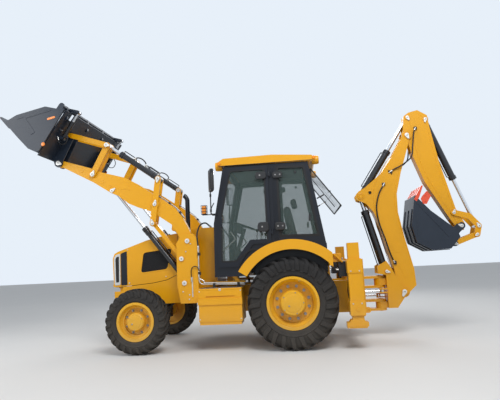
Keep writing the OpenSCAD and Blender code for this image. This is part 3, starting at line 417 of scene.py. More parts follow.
def shrunk(corners, gap):
    # the same outline, every side moved inwards by gap
    area = sum(a[0] * b[1] - b[0] * a[1] for a, b in zip(corners, corners[1:] + corners[:1]))
    turn = 1 if area > 0 else -1
    lines = []
    for a, b in zip(corners, corners[1:] + corners[:1]):
        d = Vector(b) - Vector(a)
        n = Vector((-d.y, d.x)).normalized() * turn * gap
        lines.append((Vector(a) + n, d))
    result = []
    for i in range(len(lines)):
        (p, d), (q, e) = lines[i - 1], lines[i]
        cross = d.x * e.y - d.y * e.x
        if abs(cross) < 1e-6:
            result.append(tuple(q))
            continue
        t = ((q.x - p.x) * e.y - (q.y - p.y) * e.x) / cross
        result.append(tuple(p + d * t))
    return result


def insideOutline(x, z, outline):
    crosses = [
        (b[0] - a[0]) * (z - a[1]) - (b[1] - a[1]) * (x - a[0])
        for a, b in zip(outline, outline[1:] + outline[:1])
    ]
    return min(crosses) > 0 or max(crosses) < 0


# forms made on both sides of the machine at once
def prismPairInto(bm, profile, y0, y1):
    for side in (1, -1):
        prismInto(bm, profile, side * y0, side * y1)


def turnedPairInto(bm, profile, place, steps=40, loop=False):
    for side in (1, -1):
        turnedInto(bm, profile, at(place[0], side * place[1], place[2]), (0, side, 0), steps, loop)


def boltPairInto(bm, place, radius, height):
    for side in (1, -1):
        boltInto(bm, at(place[0], side * place[1], place[2]), (0, side, 0), radius, height)


def beadPairInto(bm, points, y, radius=3.5):
    for side in (1, -1):
        tubeInto(bm, smoothPath([at(x, side * y, z) for x, z in points], 6), radius, 8)


def roundBeadPairInto(bm, centre, around, y, radius, steps=40):
    turns = [2 * pi * i / steps for i in range(steps + 1)]
    for side in (1, -1):
        ring = [at(centre[0] + around * cos(a), side * y, centre[1] + around * sin(a)) for a in turns]
        tubeInto(bm, ring, radius, 6)


def pair(name, profile, y0, y1, material, body, bevel=2.0):
    # the same prism on both sides of the machine
    bm = bmesh.new()
    prismPairInto(bm, profile, y0, y1)
    return finished(name, bm, material, body, bevel)


def along(p, q, distance, aside=0.0):
    # point at a distance from p towards q, and aside to the left of that line
    run = ((q[0] - p[0]) ** 2 + (q[1] - p[1]) ** 2) ** 0.5
    ux, uz = (q[0] - p[0]) / run, (q[1] - p[1]) / run
    return (p[0] + ux * distance - uz * aside, p[1] + uz * distance + ux * aside)


def keeperInto(plate, dark, centre, heading, y, sides=(1, -1), size=32, length=55):
    # pin plate with a round big end over the pin and one bolt at its small end
    a = radians(heading)
    tip = (centre[0] + length * cos(a), centre[1] + length * sin(a))
    for side in sides:
        prismInto(plate, roundBar(centre, tip, size, size * 0.47), side * y, side * (y + 6))
        boltInto(plate, at(tip[0], side * (y + 5.5), tip[1]), (0, side, 0), size * 0.36, 8)
        turnedInto(
            plate, [(0, 5), (size * 0.62, 5), (size * 0.62, 9), (size * 0.5, 11), (0, 11)],
            at(centre[0], side * y, centre[1]), (0, side, 0), 24
        )
        turnedInto(
            dark, [(0, 10.5), (size * 0.34, 10.5), (size * 0.3, 12.5), (0, 12.5)],
            at(centre[0], side * y, centre[1]), (0, side, 0), 16
        )


def paint(material, *names):
    for name in names:
        for slot in nodes[name].material_slots:
            slot.material = material


paint(
    yellow, "chassis", "side_boxes", "cab_roof", "hood", "loader_arms", "rear_levers", "lower_links",
    "front_levers", "bucket_links"
)
paint(yellow, "carriage", "kingpost", "boom", "dipper", "idler", "hoe_link", "leg_left", "leg_right")
paint(yellowRim, "rear_rim_left", "rear_rim_right", "front_rim_left", "front_rim_right")
paint(black, "cab_frame", "door_left", "door_right", "exhaust")
paint(iron, "driveline", "knuckle_left", "knuckle_right")
paint(glass, "cab_glass", "door_left_glass", "door_right_glass")
paint(zinc, "lever_top_pins", "front_lever_pins", "link_pins", "bucket_hinge_pins")
paint(
    barrelPaint, "tilt_barrels", "lift_barrels", "clam_barrels", "boom_barrel", "dipper_barrel",
    "hoe_bucket_barrel"
)
paint(
    chrome, "tilt_rods", "lift_rods", "clam_rods", "boom_rod", "dipper_rod", "hoe_bucket_rod",
    "swing_rod_left", "swing_rod_right"
)
paint(navy, "bucket_back", "bucket_clam", "hoe_bucket")
print("frame painted")


# Wheels: carcass and chevron lugs of each tyre, then nuts, hub cover and valve on each rim
wheels = {
    "rear": {
        "x": 0, "z": 670, "y": 865, "radius": 670, "half": 215, "rim": 360, "hub": 184, "face": 186,
        "lug": 38, "lugHalf": 34, "lugs": 25, "end": 0.69, "nuts": 12, "nutCircle": 240, "nut": 17
    },
    "front": {
        "x": 2357, "z": 485, "y": 911, "radius": 485, "half": 151, "rim": 265, "hub": 137, "face": 126,
        "lug": 26, "lugHalf": 24, "lugs": 24, "end": 0.74, "nuts": 8, "nutCircle": 172, "nut": 14
    }
}


def meridian(w):
    # half section of the carcass from the crown to the bead, as [y, radius]
    r, h, deep, rim, ring = w["radius"], w["half"], w["lug"], w["rim"], w["radius"] * w["end"]
    return [
        (0, r - deep), (0.45 * h, r - deep - 2), (0.72 * h, r - deep - 12), (0.84 * h, r - deep - 36),
        (0.89 * h, r - deep - 75), (0.90 * h, ring + 12), (0.93 * h, ring + 4), (0.93 * h, ring - 4),
        (0.895 * h, ring - 9), (0.87 * h, rim + 55), (0.86 * h, rim + 44), (0.80 * h, rim + 36),
        (0.75 * h, rim + 24), (0.72 * h, rim + 3)
    ]


def alongLine(line, t):
    # point and outward normal at the share t of the line's length
    steps = [((b[0] - a[0]) ** 2 + (b[1] - a[1]) ** 2) ** 0.5 for a, b in zip(line, line[1:])]
    left = abs(t) * sum(steps)
    for a, b, step in zip(line, line[1:], steps):
        if left <= step or b is line[-1]:
            share = left / step
            normal = ((a[1] - b[1]) / step, (b[0] - a[0]) / step)
            side = -1 if t < 0 else 1
            return (
                side * (a[0] + (b[0] - a[0]) * share), a[1] + (b[1] - a[1]) * share, side * normal[0],
                normal[1]
            )
        left -= step


def makeTyre(kind, hand):
    w = wheels[kind]
    side = 1 if hand == "left" else -1
    bm = bmesh.new()
    half = meridian(w)
    turnedInto(
        bm, [(r, y) for y, r in half] + [(r, -y) for y, r in reversed(half[1:])],
        at(w["x"], side * w["y"], w["z"]), (0, 1, 0), 96, True
    )
    tread = [point for point in half if point[1] > w["radius"] * w["end"] + 6]
    pitch = 2 * pi / w["lugs"]
    for row in (-1, 1):
        for k in range(w["lugs"]):
            rings = []
            for t in (-0.06, 0.12, 0.30, 0.46, 0.58, 0.68, 0.78, 0.88, 1.0):
                y, r, ny, nr = alongLine(tread, t)
                outer = min(1.0, max(0.0, (t - 0.5) / 0.5))
                tall = w["lug"] * (1 - 0.55 * outer)
                wide = w["lugHalf"] * (0.9 + 0.35 * outer)
                lead = 0.27 * min(1.0, abs(y) / (0.8 * w["half"])) + 0.05 * outer
                if t < 0:
                    lead = -0.02
                angle = (k + 0.5 * (row > 0)) * pitch - lead
                corners = []
                for across, height in ((-wide, -4), (-wide * 0.76, tall), (wide * 0.76, tall), (wide, -4)):
                    radius = r + nr * height
                    a = angle + across / r
                    corners.append(
                        bm.verts.new(
                            at(
                                w["x"] + radius * sin(a), side * w["y"] + row * (y + ny * height),
                                w["z"] + radius * cos(a)
                            )
                        )
                    )
                rings.append(corners)
            joinRings(bm, rings, False)
            bm.faces.new(rings[0])
            bm.faces.new(rings[-1])
    tyre = finished(f"{kind}_tyre_carcass_{hand}", bm, rubber, f"wheel_{kind}_{hand}", bevel=4)
    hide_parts(f"{kind}_tyre_{hand}")


def dressRim(kind, hand):
    w = wheels[kind]
    side = 1 if hand == "left" else -1
    body = f"wheel_{kind}_{hand}"
    origin, out = at(w["x"], side * w["y"], w["z"]), (0, side, 0)
    rim, face, hub = w["rim"], w["face"], w["hub"]
    bead = w["half"] * 0.72
    bm = bmesh.new()
    well = [
        (rim - 14.5, 16.4), (rim - 14.5, bead + 10), (rim - 19, bead + 8), (rim - 24, bead - 6),
        (rim - 30, bead - 34), (rim - 50, bead - 60), (rim - 66, bead * 0.42), (rim - 72, 16.4)
    ]
    turnedInto(bm, well, origin, out, 72, True)
    turnedInto(
        bm,
        [
            (0, 16.4), (hub, 16.4), (hub, face - 34), (hub - 7, face - 14), (hub - 22, face + 1),
            (hub * 0.70, face + 2), (hub * 0.68, face + 5), (hub * 0.62, face + 7), (0, face + 7)
        ],
        origin, out, 64
    )
    turnedInto(
        bm, [(hub + 18, 16.3), (hub + 18, 24), (hub + 10, 28), (hub - 2, 28), (hub - 2, 16.3)], origin,
        out, 64, True
    )
    finished(f"{kind}_rim_well_{hand}", bm, yellowRim, body, sharp=24)
    bm = bmesh.new()
    for i in range(w["nuts"]):
        a = 2 * pi * (i + 0.5) / w["nuts"]
        spot = origin + Vector((w["nutCircle"] * cos(a), 0, w["nutCircle"] * sin(a))) / 1000
        turnedInto(bm, [(0, 16.2), (w["nut"] * 1.35, 16.2), (w["nut"] * 1.3, 20), (0, 21)], spot, out, 20)
        boltInto(bm, spot + Vector(out) * 0.02, out, w["nut"], w["nut"] * 1.1)
        turnedInto(bm, [(0, 30), (w["nut"] * 0.55, 30), (w["nut"] * 0.5, 48), (0, 49)], spot, out, 12)
    for i in range(3 if kind == "front" else 5):
        a = 2 * pi * i / (3 if kind == "front" else 5) + 0.6
        boltInto(
            bm,
            origin + Vector(
                (hub * 0.84 * cos(a), 0, hub * 0.84 * sin(a))
            ) / 1000 + Vector(out) * ((face - 6) / 1000),
            out, w["nut"] * 0.6, w["nut"] * 0.7
        )
    boltInto(
        bm, origin + Vector((hub * 0.3, 0, -hub * 0.2)) / 1000 + Vector(out) * ((face + 6) / 1000), out,
        13, 9
    )
    finished(f"{kind}_wheel_nuts_{hand}", bm, wornSteel, body)
    bm = bmesh.new()
    stem = [
        origin + Vector((-0.11, side * y / 1000, (rim - drop) / 1000))
        for y, drop in ((bead - 50, 52), (bead - 26, 50), (bead - 8, 42), (bead + 10, 36))
    ]
    tubeInto(bm, smoothPath(stem, 6), 6)
    turnedInto(bm, [(0, 0), (24, 0), (19, 10), (10, 16), (0, 17)], stem[0], out, 6)
    finished(f"{kind}_valve_{hand}", bm, brass, body)


for kind in wheels:
    for hand in ("left", "right"):
        makeTyre(kind, hand)
        dressRim(kind, hand)
print("wheels done")


# Loader: pin plates, glands, pipes and the details of both buckets
leverLow, liftTop = (2171, 1977), (2858, 2558)
keepers = {
    "rear_levers": [(pinAt("rear_lever_turn"), 105, 710), (leverLow, 75, 712)],
    "lever_top_pins": [(pinAt("lever_top_pin_turn"), -80, 712.5)],
    "front_lever_pins": [(pinAt("front_pin_turn"), 118, 712.5)],
    "link_pins": [(pinAt("link_pin_turn"), 200, 737.5)],
    "bucket_hinge_pins": [(pinAt("bucket_tilt"), 205, 712.5)],
    "loader_arms": [(liftTop, 150, 679)],
}
for body, plates in keepers.items():
    plate, dark = bmesh.new(), bmesh.new()
    for centre, heading, y in plates:
        keeperInto(plate, dark, centre, heading, y)
    finished(f"keeper_plates_{body}", plate, pinPaint, body, bevel=1.2)
    finished(f"keeper_centres_{body}", dark, wornSteel, body)
plate, dark = bmesh.new(), bmesh.new()
for joint in ("loader_lift", "lower_link_turn", "lift_barrel_turn"):
    x, z = pinAt(joint)
    turnedPairInto(plate, [(0, 0), (37, 0), (37, 5), (35, 7), (24, 7), (22, 10), (0, 10)], (x, 712, z), 32)
    turnedPairInto(dark, [(0, 9.5), (12, 9.5), (11, 12), (0, 12)], (x, 712, z), 16)
finished("tower_pin_washers", plate, pinPaint, "root")
finished("tower_pin_centres", dark, wornSteel, "root")


def gland(name, foot, head, body, radius, rodRadius, places, holder, lipHeight=9):
    # turned gland nut, wiper ring and the weld collar of a cylinder's barrel
    ring, lip = bmesh.new(), bmesh.new()
    axis = at(head[0], 0, head[1]) - at(foot[0], 0, foot[1])
    for y in places:
        start = at(foot[0], y, foot[1])
        turnedInto(
            ring,
            [
                (radius + 5, body - 58), (radius + 9, body - 54), (radius + 9, body - 22),
                (radius + 7.2, body - 20), (radius + 7.2, body - 14), (radius + 9, body - 12),
                (radius + 9, body - 3), (radius + 5, body + 2), (rodRadius + 3, body + 2),
                (rodRadius + 3, body - 2)
            ],
            start, axis, 36, True
        )
        turnedInto(
            ring, [(radius - 2, 118), (radius + 4, 120), (radius + 4, 132), (radius - 2, 136)], start,
            axis, 36, True
        )
        turnedInto(
            lip,
            [
                (rodRadius + 0.6, body - 1), (rodRadius + 8, body),
                (rodRadius + 7, body + lipHeight * 0.78), (rodRadius + 0.8, body + lipHeight)
            ],
            start, axis, 32, True
        )
    finished(f"{name}_gland", ring, barrelPaint, holder)
    finished(f"{name}_wiper", lip, hoseRubber, holder)


leverTop, frontTop, liftFoot = pinAt("lever_top_pin_turn"), pinAt("link_pin_turn"), pinAt("lift_barrel_turn")
gland("tilt", leverTop, frontTop, 800, 47, 28, (620, -620), "tilt_barrels")
gland("lift", liftFoot, liftTop, 1158, 46, 27, (487, -487), "lift_barrels", 2.6)

# steel pipes beside the barrels, their ports and one hose loop on each tilt barrel
for name, foot, head, y, aside, runs in (
    ("tilt", leverTop, frontTop, 620, 80, ((60, 330), (520, 770))),
    ("lift", liftFoot, liftTop, 495, 68, ((110, 1040),))
):
    tubes, ports = bmesh.new(), bmesh.new()
    out = Vector((*along((0, 0), (head[0] - foot[0], head[1] - foot[1]), 0, 1), 0)).xzy
    for side in (1, -1):
        for near, far in runs:
            line = [
                along(foot, head, near, 44), along(foot, head, near, aside),
                along(foot, head, far, aside), along(foot, head, far, 44)
            ]
            tubeInto(tubes, bentPath([at(x, side * y, z) for x, z in line], 26), 8)
            for d in (near, far):
                x, z = along(foot, head, d, aside - 24)
                turnedInto(
                    ports, [(0, -16), (15, -16), (15, 8), (11, 11), (11, 16), (0, 16)],
                    at(x, side * y, z), out, 16
                )
    finished(f"{name}_pipes", tubes, barrelPaint, f"{name}_barrels")
    finished(f"{name}_ports", ports, zinc, f"{name}_barrels")
for side, hand in ((1, "left"), (-1, "right")):
    loop = [
        (*along(leverTop, frontTop, d, aside), y)
        for d, aside, y in (
            (300, 66, 634), (352, 108, 648), (425, 124, 655), (498, 108, 648), (550, 66, 634)
        )
    ]
    hose(f"tilt_hose_{hand}", [(x, side * y, z) for x, z, y in loop], 20, "tilt_barrels")

# arms: welded bosses, wing plates and the steel pipes on their rear slope
bosses = bmesh.new()
for x, z, r in ((3382, 2933, 36), (3034, 2719, 36), (2886, 2639, 24)):
    turnedPairInto(
        bosses, [(0, -1), (r, -1), (r, 3), (r - 2, 4.5), (r * 0.55, 4.5), (r * 0.5, 3), (0, 3)],
        (x, 670, z), 32
    )
finished("arm_bosses", bosses, yellow, "loader_arms")
pair(
    "arm_wing_plates",
    rounded([(2750, 2593), (2674, 2694), (2585, 2656), (2544, 2536), (2620, 2572), (2707, 2558)], 14),
    669, 673.5, yellow, "loader_arms", 1.2
)
pipes, clamps = bmesh.new(), bmesh.new()
run = [(2158, 2455), (2026, 2370), (1800, 2200), (1680, 2040)]
for side in (1, -1):
    for y in (600, 640):
        lifted = [(x - 14, z + 12) for x, z in run]
        tubeInto(pipes, bentPath([at(x, side * y, z) for x, z in lifted], 60), 8)
    for a, b in zip(run, run[1:]):
        middle = ((a[0] + b[0]) / 2 - 14, (a[1] + b[1]) / 2 + 12)
        heading = (b[0] - a[0], b[1] - a[1])
        length = (heading[0] ** 2 + heading[1] ** 2) ** 0.5
        ux, uz = heading[0] / length * 17, heading[1] / length * 17
        nx, nz = uz * 0.8, -ux * 0.8
        prismInto(
            clamps,
            [
                (middle[0] - ux - nx, middle[1] - uz - nz), (middle[0] + ux - nx, middle[1] + uz - nz),
                (middle[0] + ux + nx, middle[1] + uz + nz), (middle[0] - ux + nx, middle[1] - uz + nz)
            ],
            side * 582, side * 658
        )
finished("arm_pipes", pipes, wornSteel, "loader_arms")
finished("arm_pipe_clamps", clamps, mould, "loader_arms", bevel=2)
print("loader done")


# Loader bucket: raised panel on its cheeks, reflectors and hanging hoses
panel, dots = bmesh.new(), bmesh.new()
prismPairInto(
    panel,
    rounded(
        [
            (3991, 3456), (3916, 3503), (4080, 3742), (3660, 3832), (3668, 3858), (4098, 3764),
            (4173, 3790), (4237, 3758), (4228, 3738), (4118, 3762)
        ],
        10
    ),
    1148, 1154.5
)
finished("clam_cheek_panel", panel, navy, "bucket_clam", bevel=2)
turnedPairInto(dots, [(0, 0), (30, 0), (30, 4), (27, 6), (0, 7)], (3780, 1149, 3293), 28)
finished("back_reflectors", dots, reflector, "bucket_back")
dots = bmesh.new()
prismPairInto(dots, roundBar((3700, 3700), (3600, 3722), 17), 1149, 1154)
finished("clam_reflectors", dots, reflector, "bucket_clam", bevel=1.5)
for side, hand in ((1, "left"), (-1, "right")):
    hose(
        f"bucket_hose_{hand}",
        onSide(
            side,
            (
                (3596, 935, 3571), (3520, 944, 3520), (3480, 948, 3420), (3530, 946, 3335),
                (3618, 942, 3350), (3650, 935, 3440)
            )
        ),
        14, "bucket_back"
    )
print("bucket done")


# Nose: grille and the framed side vents, with painted shade sheets behind them
nose = {"foot": 985, "lean": 20 / 465, "bars": 9, "lowest": 1054, "pitch": 44, "middle": 8, "edge": 322}
bars, frameMesh = bmesh.new(), bmesh.new()
for i in range(nose["bars"]):
    z = nose["lowest"] + i * nose["pitch"]
    for y0, y1 in ((-nose["edge"], -nose["middle"]), (nose["middle"], nose["edge"])):
        prismInto(
            bars,
            [(2941, z - 7), (2952, z - 9), (2957, z - 2), (2957, z + 3), (2952, z + 9), (2941, z + 8)],
            y0, y1
        )
prismInto(bars, [(2939, 1032), (2954, 1032), (2958, 1428), (2943, 1428)], -7, 7)
finished("nose_grille_bars", bars, grillePaint, "hood", bevel=1.5)
outer = [(-336, 1024), (336, 1024), (336, 1436), (-336, 1436)]
inner = [(-312, 1044), (312, 1044), (312, 1418), (-312, 1418)]


def acrossNose(y, z, x):
    # the nose leans back with height
    return at(x + (z - nose["foot"]) * nose["lean"], y, z)


frameInto(frameMesh, rounded(outer, 26), rounded(inner, 18), 2932, 2950, acrossNose)
finished("nose_grille_frame", frameMesh, grillePaint, "hood", bevel=2)
# painted shade: a near-black sheet behind the grille bars stands in for the shade inside the nose
noseShadeSheet = bmesh.new()
prismInto(noseShadeSheet, [(2915, 1020), (2927, 1020), (2934, 1440), (2922, 1440)], -340, 340)
grilles = finished("nose_painted_shade", noseShadeSheet, paintedShade, "hood", bevel=0)
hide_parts("grilles")

pair(
    "nose_cladding", rounded([(2822, 1018), (2920, 1012), (2937, 1448), (2905, 1512), (2826, 1530)], 20),
    429.5, 437, grillePaint, "hood", 2.5
)
pair(
    "nose_cladding_panel",
    rounded([(2845, 1060), (2896, 1058), (2907, 1440), (2888, 1478), (2846, 1488)], 14), 436, 439.5, seal,
    "hood", 1.5
)
pair(
    "nose_black_strip", rounded([(2706, 1012), (2812, 1008), (2816, 1532), (2712, 1566)], 18), 429.5,
    434.5, black, "hood", 2
)
vent = {
    "corners": [(2433, 1533), (1931, 1582), (2019, 1232), (2483, 1189)], "from": 1900, "to": 2500,
    "steps": 80
}
vent |= {"lowest": 1180, "pitch": 34, "slope": 0.62, "pivot": 2200, "wire": 2.2, "shortest": 20}
base, wires, rims = bmesh.new(), bmesh.new(), bmesh.new()
for side in (1, -1):
    # painted shade: a near-black sheet just inside each vent stands in for the shade behind the mesh
    prismInto(base, shrunk(vent["corners"], -3), side * 418, side * 423)
    opened = shrunk(vent["corners"], 10)
    frameInto(
        rims, rounded(shrunk(vent["corners"], -10), 24, 6), rounded(opened, 48, 6), side * 427, side * 434
    )
    for lean in (1, -1):
        for k in range(-13, 26):
            start, stop = None, None
            for t in range(vent["steps"] + 1):
                x = vent["from"] + (vent["to"] - vent["from"]) * t / vent["steps"]
                z = vent["lowest"] + k * vent["pitch"] + lean * (x - vent["pivot"]) * vent["slope"]
                if insideOutline(x, z, opened):
                    start = start or (x, z)
                    stop = (x, z)
            if start and stop[0] - start[0] > vent["shortest"]:
                y = side * (426 + lean)
                tubeInto(wires, [at(start[0], y, start[1]), at(stop[0], y, stop[1])], vent["wire"], 5)
# the painted shade sheets behind the vent mesh
finished("vent_painted_shade", base, paintedShade, "hood")
finished("vent_mesh", wires, seal, "hood")
finished("vent_frames", rims, yellow, "hood", bevel=2.5)
bolts = bmesh.new()
boltPairInto(bolts, (2668, 429.5, 1040), 13, 9)
for x, z in ((2050, 1120), (2700, 1585)):
    boltPairInto(bolts, (x, 429.5, z), 9, 6)
finished("hood_bolts", bolts, zinc, "hood")
# painted shade: a near-black sheet across the rear end of the engine bay stands in for the shade under the
# hood
bayShadeSheet = bmesh.new()
prismInto(bayShadeSheet, [(1842, 1100), (1856, 1100), (1856, 1800), (1842, 1800)], -424, 424)
finished("bay_shade", bayShadeSheet, paintedShade, "root")
print("nose done")


# Side box: lock, bolts, the lid's edge and the step's ribbed cover
box = {
    "face": 999.5, "lock": (1069, 905), "bolts": ((760, 885), (1375, 885), (760, 480), (1375, 480)),
    "bolt": 10
}
box |= {
    "ribs": 24, "firstRib": 766, "pitch": 26, "rib": 14, "ribHeights": (924.5, 929), "inner": 600,
    "outer": 985
}
bolts = bmesh.new()
lockProfile = [(0, 0), (20, 0), (20, 3), (16, 5), (8, 5), (8, 2.5), (0, 2.5)]
turnedPairInto(bolts, lockProfile, (box["lock"][0], box["face"], box["lock"][1]), 28)
for x, z in box["bolts"]:
    boltPairInto(bolts, (x, box["face"], z), box["bolt"], 6)
finished("box_lock_and_bolts", bolts, zinc, "root")
bars = bmesh.new()
for k in range(box["ribs"]):
    x = box["firstRib"] + k * box["pitch"]
    prismPairInto(bars, block((x, x + box["rib"]), box["ribHeights"]), box["inner"], box["outer"])
finished("box_tread_ribs", bars, wornSteel, "root", bevel=1)
pair("box_lid_edge", block((742, 1393), (903, 921)), 998, 1003, yellow, "root", 2)
print("side box done")


# Cab: pillar strip, seals, hinges, handles, mirror, lamps, seat and controls
doorWindow = [(335, 2712), (868, 2712), (1024, 2024), (1046, 1315), (840, 1315), (600, 1480), (335, 1480)]
pillar = {"ribs": 5, "first": 153, "pitch": 15, "rib": 9, "heights": (1610, 2765), "foot": 759, "crest": 766}
strips = bmesh.new()
for k in range(pillar["ribs"]):
    x = pillar["first"] + k * pillar["pitch"]
    rib = block((x, x + pillar["rib"]), pillar["heights"])
    prismPairInto(strips, rib, pillar["foot"], pillar["crest"])
finished("pillar_ribs", strips, black, "root", bevel=1.5)
for side, hand in ((1, "left"), (-1, "right")):
    body = f"door_{hand}"
    bm = bmesh.new()
    outline = [tuple(corner) for corner in doorWindow]
    frameInto(
        bm, rounded(shrunk(outline, -16), 30), rounded(shrunk(outline, 8), 26), side * 793, side * 798.5
    )
    finished(f"door_seal_{hand}", bm, seal, body, bevel=1.5)
    bm, knobs = bmesh.new(), bmesh.new()
    for z, tall, bulge in ((2612, 58, 30), (1810, 74, 40)):
        prismInto(
            bm,
            rounded(
                [
                    (300, z - tall * 0.7), (330, z - tall), (455, z - tall), (470, z - tall * 0.4),
                    (470, z + tall * 0.4), (450, z + tall), (330, z + tall), (300, z + tall * 0.7)
                ],
                26
            ),
            side * 794.5, side * (806 + bulge)
        )
        boltInto(knobs, at(400, side * (805.5 + bulge), z), (0, side, 0), 13, 6)
    finished(f"door_hinge_covers_{hand}", bm, mould, body, bevel=9)
    finished(f"door_hinge_bolts_{hand}", knobs, wornSteel, body)
    bm = bmesh.new()
    tubeInto(
        bm,
        bentPath(
            placedOn(
                side,
                (
                    (905, 768, 1764), (894, 742, 1749), (831, 738, 1649), (1035, 738, 1482),
                    (1049, 768, 1470)
                )
            ),
            40
        ),
        11, 16
    )
    finished(f"door_grab_rail_{hand}", bm, zinc, body)
    bm = bmesh.new()
    tubeInto(
        bm,
        bentPath(
            placedOn(side, ((1031, 775, 1843), (1031, 752, 1843), (921, 752, 1668), (921, 775, 1668))), 14
        ),
        9, 14
    )
    prismInto(
        bm, rounded([(1020, 1880), (1060, 1880), (1060, 1800), (1016, 1800)], 10), side * 794.5,
        side * 812
    )
    finished(f"door_lever_{hand}", bm, mould, body, bevel=2)
covers, knobs = bmesh.new(), bmesh.new()
for z, tall, bulge in ((2612, 50, 18), (1810, 62, 24)):
    prismPairInto(
        covers,
        rounded(
            [
                (60, z - tall), (190, z - tall), (206, z - tall * 0.5), (206, z + tall * 0.5),
                (190, z + tall), (60, z + tall), (44, z)
            ],
            26
        ),
        759, 781 + bulge
    )
    for dx in (88, 160):
        boltPairInto(knobs, (dx, 780.5 + bulge, z), 12, 6)
finished("frame_hinge_covers", covers, mould, "root", bevel=8)
finished("frame_hinge_bolts", knobs, wornSteel, "root")
quarter = [(135, 2740), (-290, 2725), (-455, 1640), (135, 1660)]
bm, fixed = bmesh.new(), bmesh.new()
for side in (1, -1):
    frameInto(
        bm, rounded(shrunk(quarter, -14), 26), rounded(shrunk(quarter, 22), 22), side * 759, side * 763.5
    )
    for x, z, r in ((-150, 2640, 22), (-330, 1911, 15)):
        turnedInto(
            fixed, [(0, 0), (r, 0), (r, 6), (r * 0.8, 11), (r * 0.4, 13), (0, 13)], at(x, side * 737, z),
            (0, side, 0), 24
        )
    prismInto(
        fixed, rounded([(-352, 1975), (-318, 1975), (-308, 1868), (-345, 1868)], 10), side * 737.5,
        side * 752
    )
finished("quarter_seals", bm, seal, "root", bevel=1.5)
finished("quarter_knobs", fixed, mould, "root", bevel=2)

# rear window: frame of the open pane, its struts and the wiper
bm = bmesh.new()


def paneAt(y, t, aside):
    x, z = along((-389, 2705), (-833, 2074), t, aside)
    return at(x, y, z)


paneLine = [(-690, 2), (690, 2), (690, 768), (-690, 768)]
frameInto(
    bm, rounded(paneLine, 40), rounded([(-668, 24), (668, 24), (668, 746), (-668, 746)], 30), -3.5, 11,
    paneAt
)
finished("rear_pane_frame", bm, seal, "root", bevel=2)
struts, rods = bmesh.new(), bmesh.new()
for side in (1, -1):
    foot, far = at(-462, side * 712, 2210), paneAt(side * 655, 480, -8)
    middle = foot + (far - foot) * 0.55
    tubeInto(struts, [foot, middle], 11, 12)
    tubeInto(rods, [foot + (far - foot) * 0.5, far], 5, 10)
    turnedInto(struts, [(0, -6), (13, -6), (13, 6), (0, 6)], far, (0, side, 0), 14)
finished("rear_pane_struts", struts, black, "root")
finished("rear_pane_rods", rods, chrome, "root")
bm = bmesh.new()
tubeInto(bm, [paneAt(120, 40, 14), paneAt(100, 470, 16)], 5, 8)
tubeInto(bm, [paneAt(100, 330, 14), paneAt(100, 690, 14)], 7, 6)
turnedInto(
    bm, [(0, 0), (26, 0), (24, 22), (0, 26)], paneAt(120, 40, 4), paneAt(0, 0, 1) - paneAt(0, 0, 0), 20
)
finished("rear_wiper", bm, mould, "root")

# mirrors: moulded shell with its glass, over the head of each bracket
mirror = {
    "x": 1150, "y": 940, "z": 2564, "turn": 20, "glass": (-32.5, -28), "rod": 1165, "clamps": (2095, 2330)
}
for side, hand in ((1, "left"), (-1, "right")):
    shell, pane = bmesh.new(), bmesh.new()
    turnZ = Matrix.Rotation(radians(mirror["turn"] * side), 4, "Z")
    centre = at(mirror["x"], side * mirror["y"], mirror["z"])
    rings = []
    for depth, grow in ((-30, 0.62), (-26, 0.86), (-8, 1.0), (16, 1.02), (29, 0.98), (31, 0.93)):
        ring = rounded(
            [
                (-104 * grow, -170 * grow), (104 * grow, -172 * grow), (112 * grow, 40 * grow),
                (84 * grow, 176 * grow), (-84 * grow, 176 * grow), (-112 * grow, 40 * grow)
            ],
            42 * grow
        )
        rings.append([shell.verts.new(centre + turnZ @ Vector((-depth, y, z)) / 1000) for y, z in ring])
    joinRings(shell, rings, False)
    shell.faces.new(rings[0])
    shell.faces.new(rings[-1])
    finished(f"mirror_shell_{hand}", shell, mould, "root")
    ring = rounded([(-92, -154), (92, -156), (99, 36), (74, 158), (-74, 158), (-99, 36)], 36)
    front, back = (
        [pane.verts.new(centre + turnZ @ Vector((depth, y, z)) / 1000) for y, z in ring]
        for depth in mirror["glass"]
    )
    pane.faces.new(front)
    pane.faces.new(list(reversed(back)))
    joinRings(pane, [front, back], False)
    finished(f"mirror_glass_{hand}", pane, chrome, "root")
    bm = bmesh.new()
    for z in mirror["clamps"]:
        collar = [(9.4, -22), (15, -20), (15, 20), (9.4, 22)]
        turnedInto(bm, collar, at(mirror["rod"], side * mirror["y"], z), (0, 0, 1), 20, True)
    tubeInto(
        bm, smoothPath(placedOn(side, ((1150, 766, 2230), (1166, 840, 2170), (1166, 925, 2120))), 6), 8,
        12
    )
    finished(f"mirror_clamps_{hand}", bm, mould, "root")

# lamps: roof corner housings with their lenses, beacon, indicators
roofLamps = {"places": ((1062, 1, 62), (-474, -1, 57)), "y": 620, "z": 2840, "beacon": (880, 0, 2929)}
housing, lens, white = bmesh.new(), bmesh.new(), bmesh.new()
for side in (1, -1):
    for x, away, r in roofLamps["places"]:
        start = at(x, side * roofLamps["y"], roofLamps["z"])
        turnedInto(
            housing,
            [
                (r + 12, -50), (r + 13, 10), (r + 10, 42), (r + 4, 60), (r - 4, 60), (r - 6, 44),
                (r - 6, -50)
            ],
            start, (away, 0, 0), 40, True
        )
        turnedInto(
            lens if away < 0 else white,
            [(0, 20), (r - 7, 20), (r - 7, 46), (r * 0.7, 57), (r * 0.35, 62), (0, 63)], start,
            (away, 0, 0), 32
        )
        turnedInto(
            lens, [(0, 0), (27, 0), (27, 12), (22, 18), (0, 20)], at(x - away * 20, side * 789, 2846),
            (0, side, 0), 24
        )
finished("roof_lamp_housings", housing, yellow, "root")
rearLens = finished("roof_lamp_lenses", lens, amber, "root")
finished("roof_work_lenses", white, whiteLens, "root")
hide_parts("lamps")
beacon = at(*roofLamps["beacon"])
turned("beacon_base", [(0, 0), (62, 0), (62, 14), (54, 20), (0, 20)], beacon, (0, 0, 1), mould, "root")
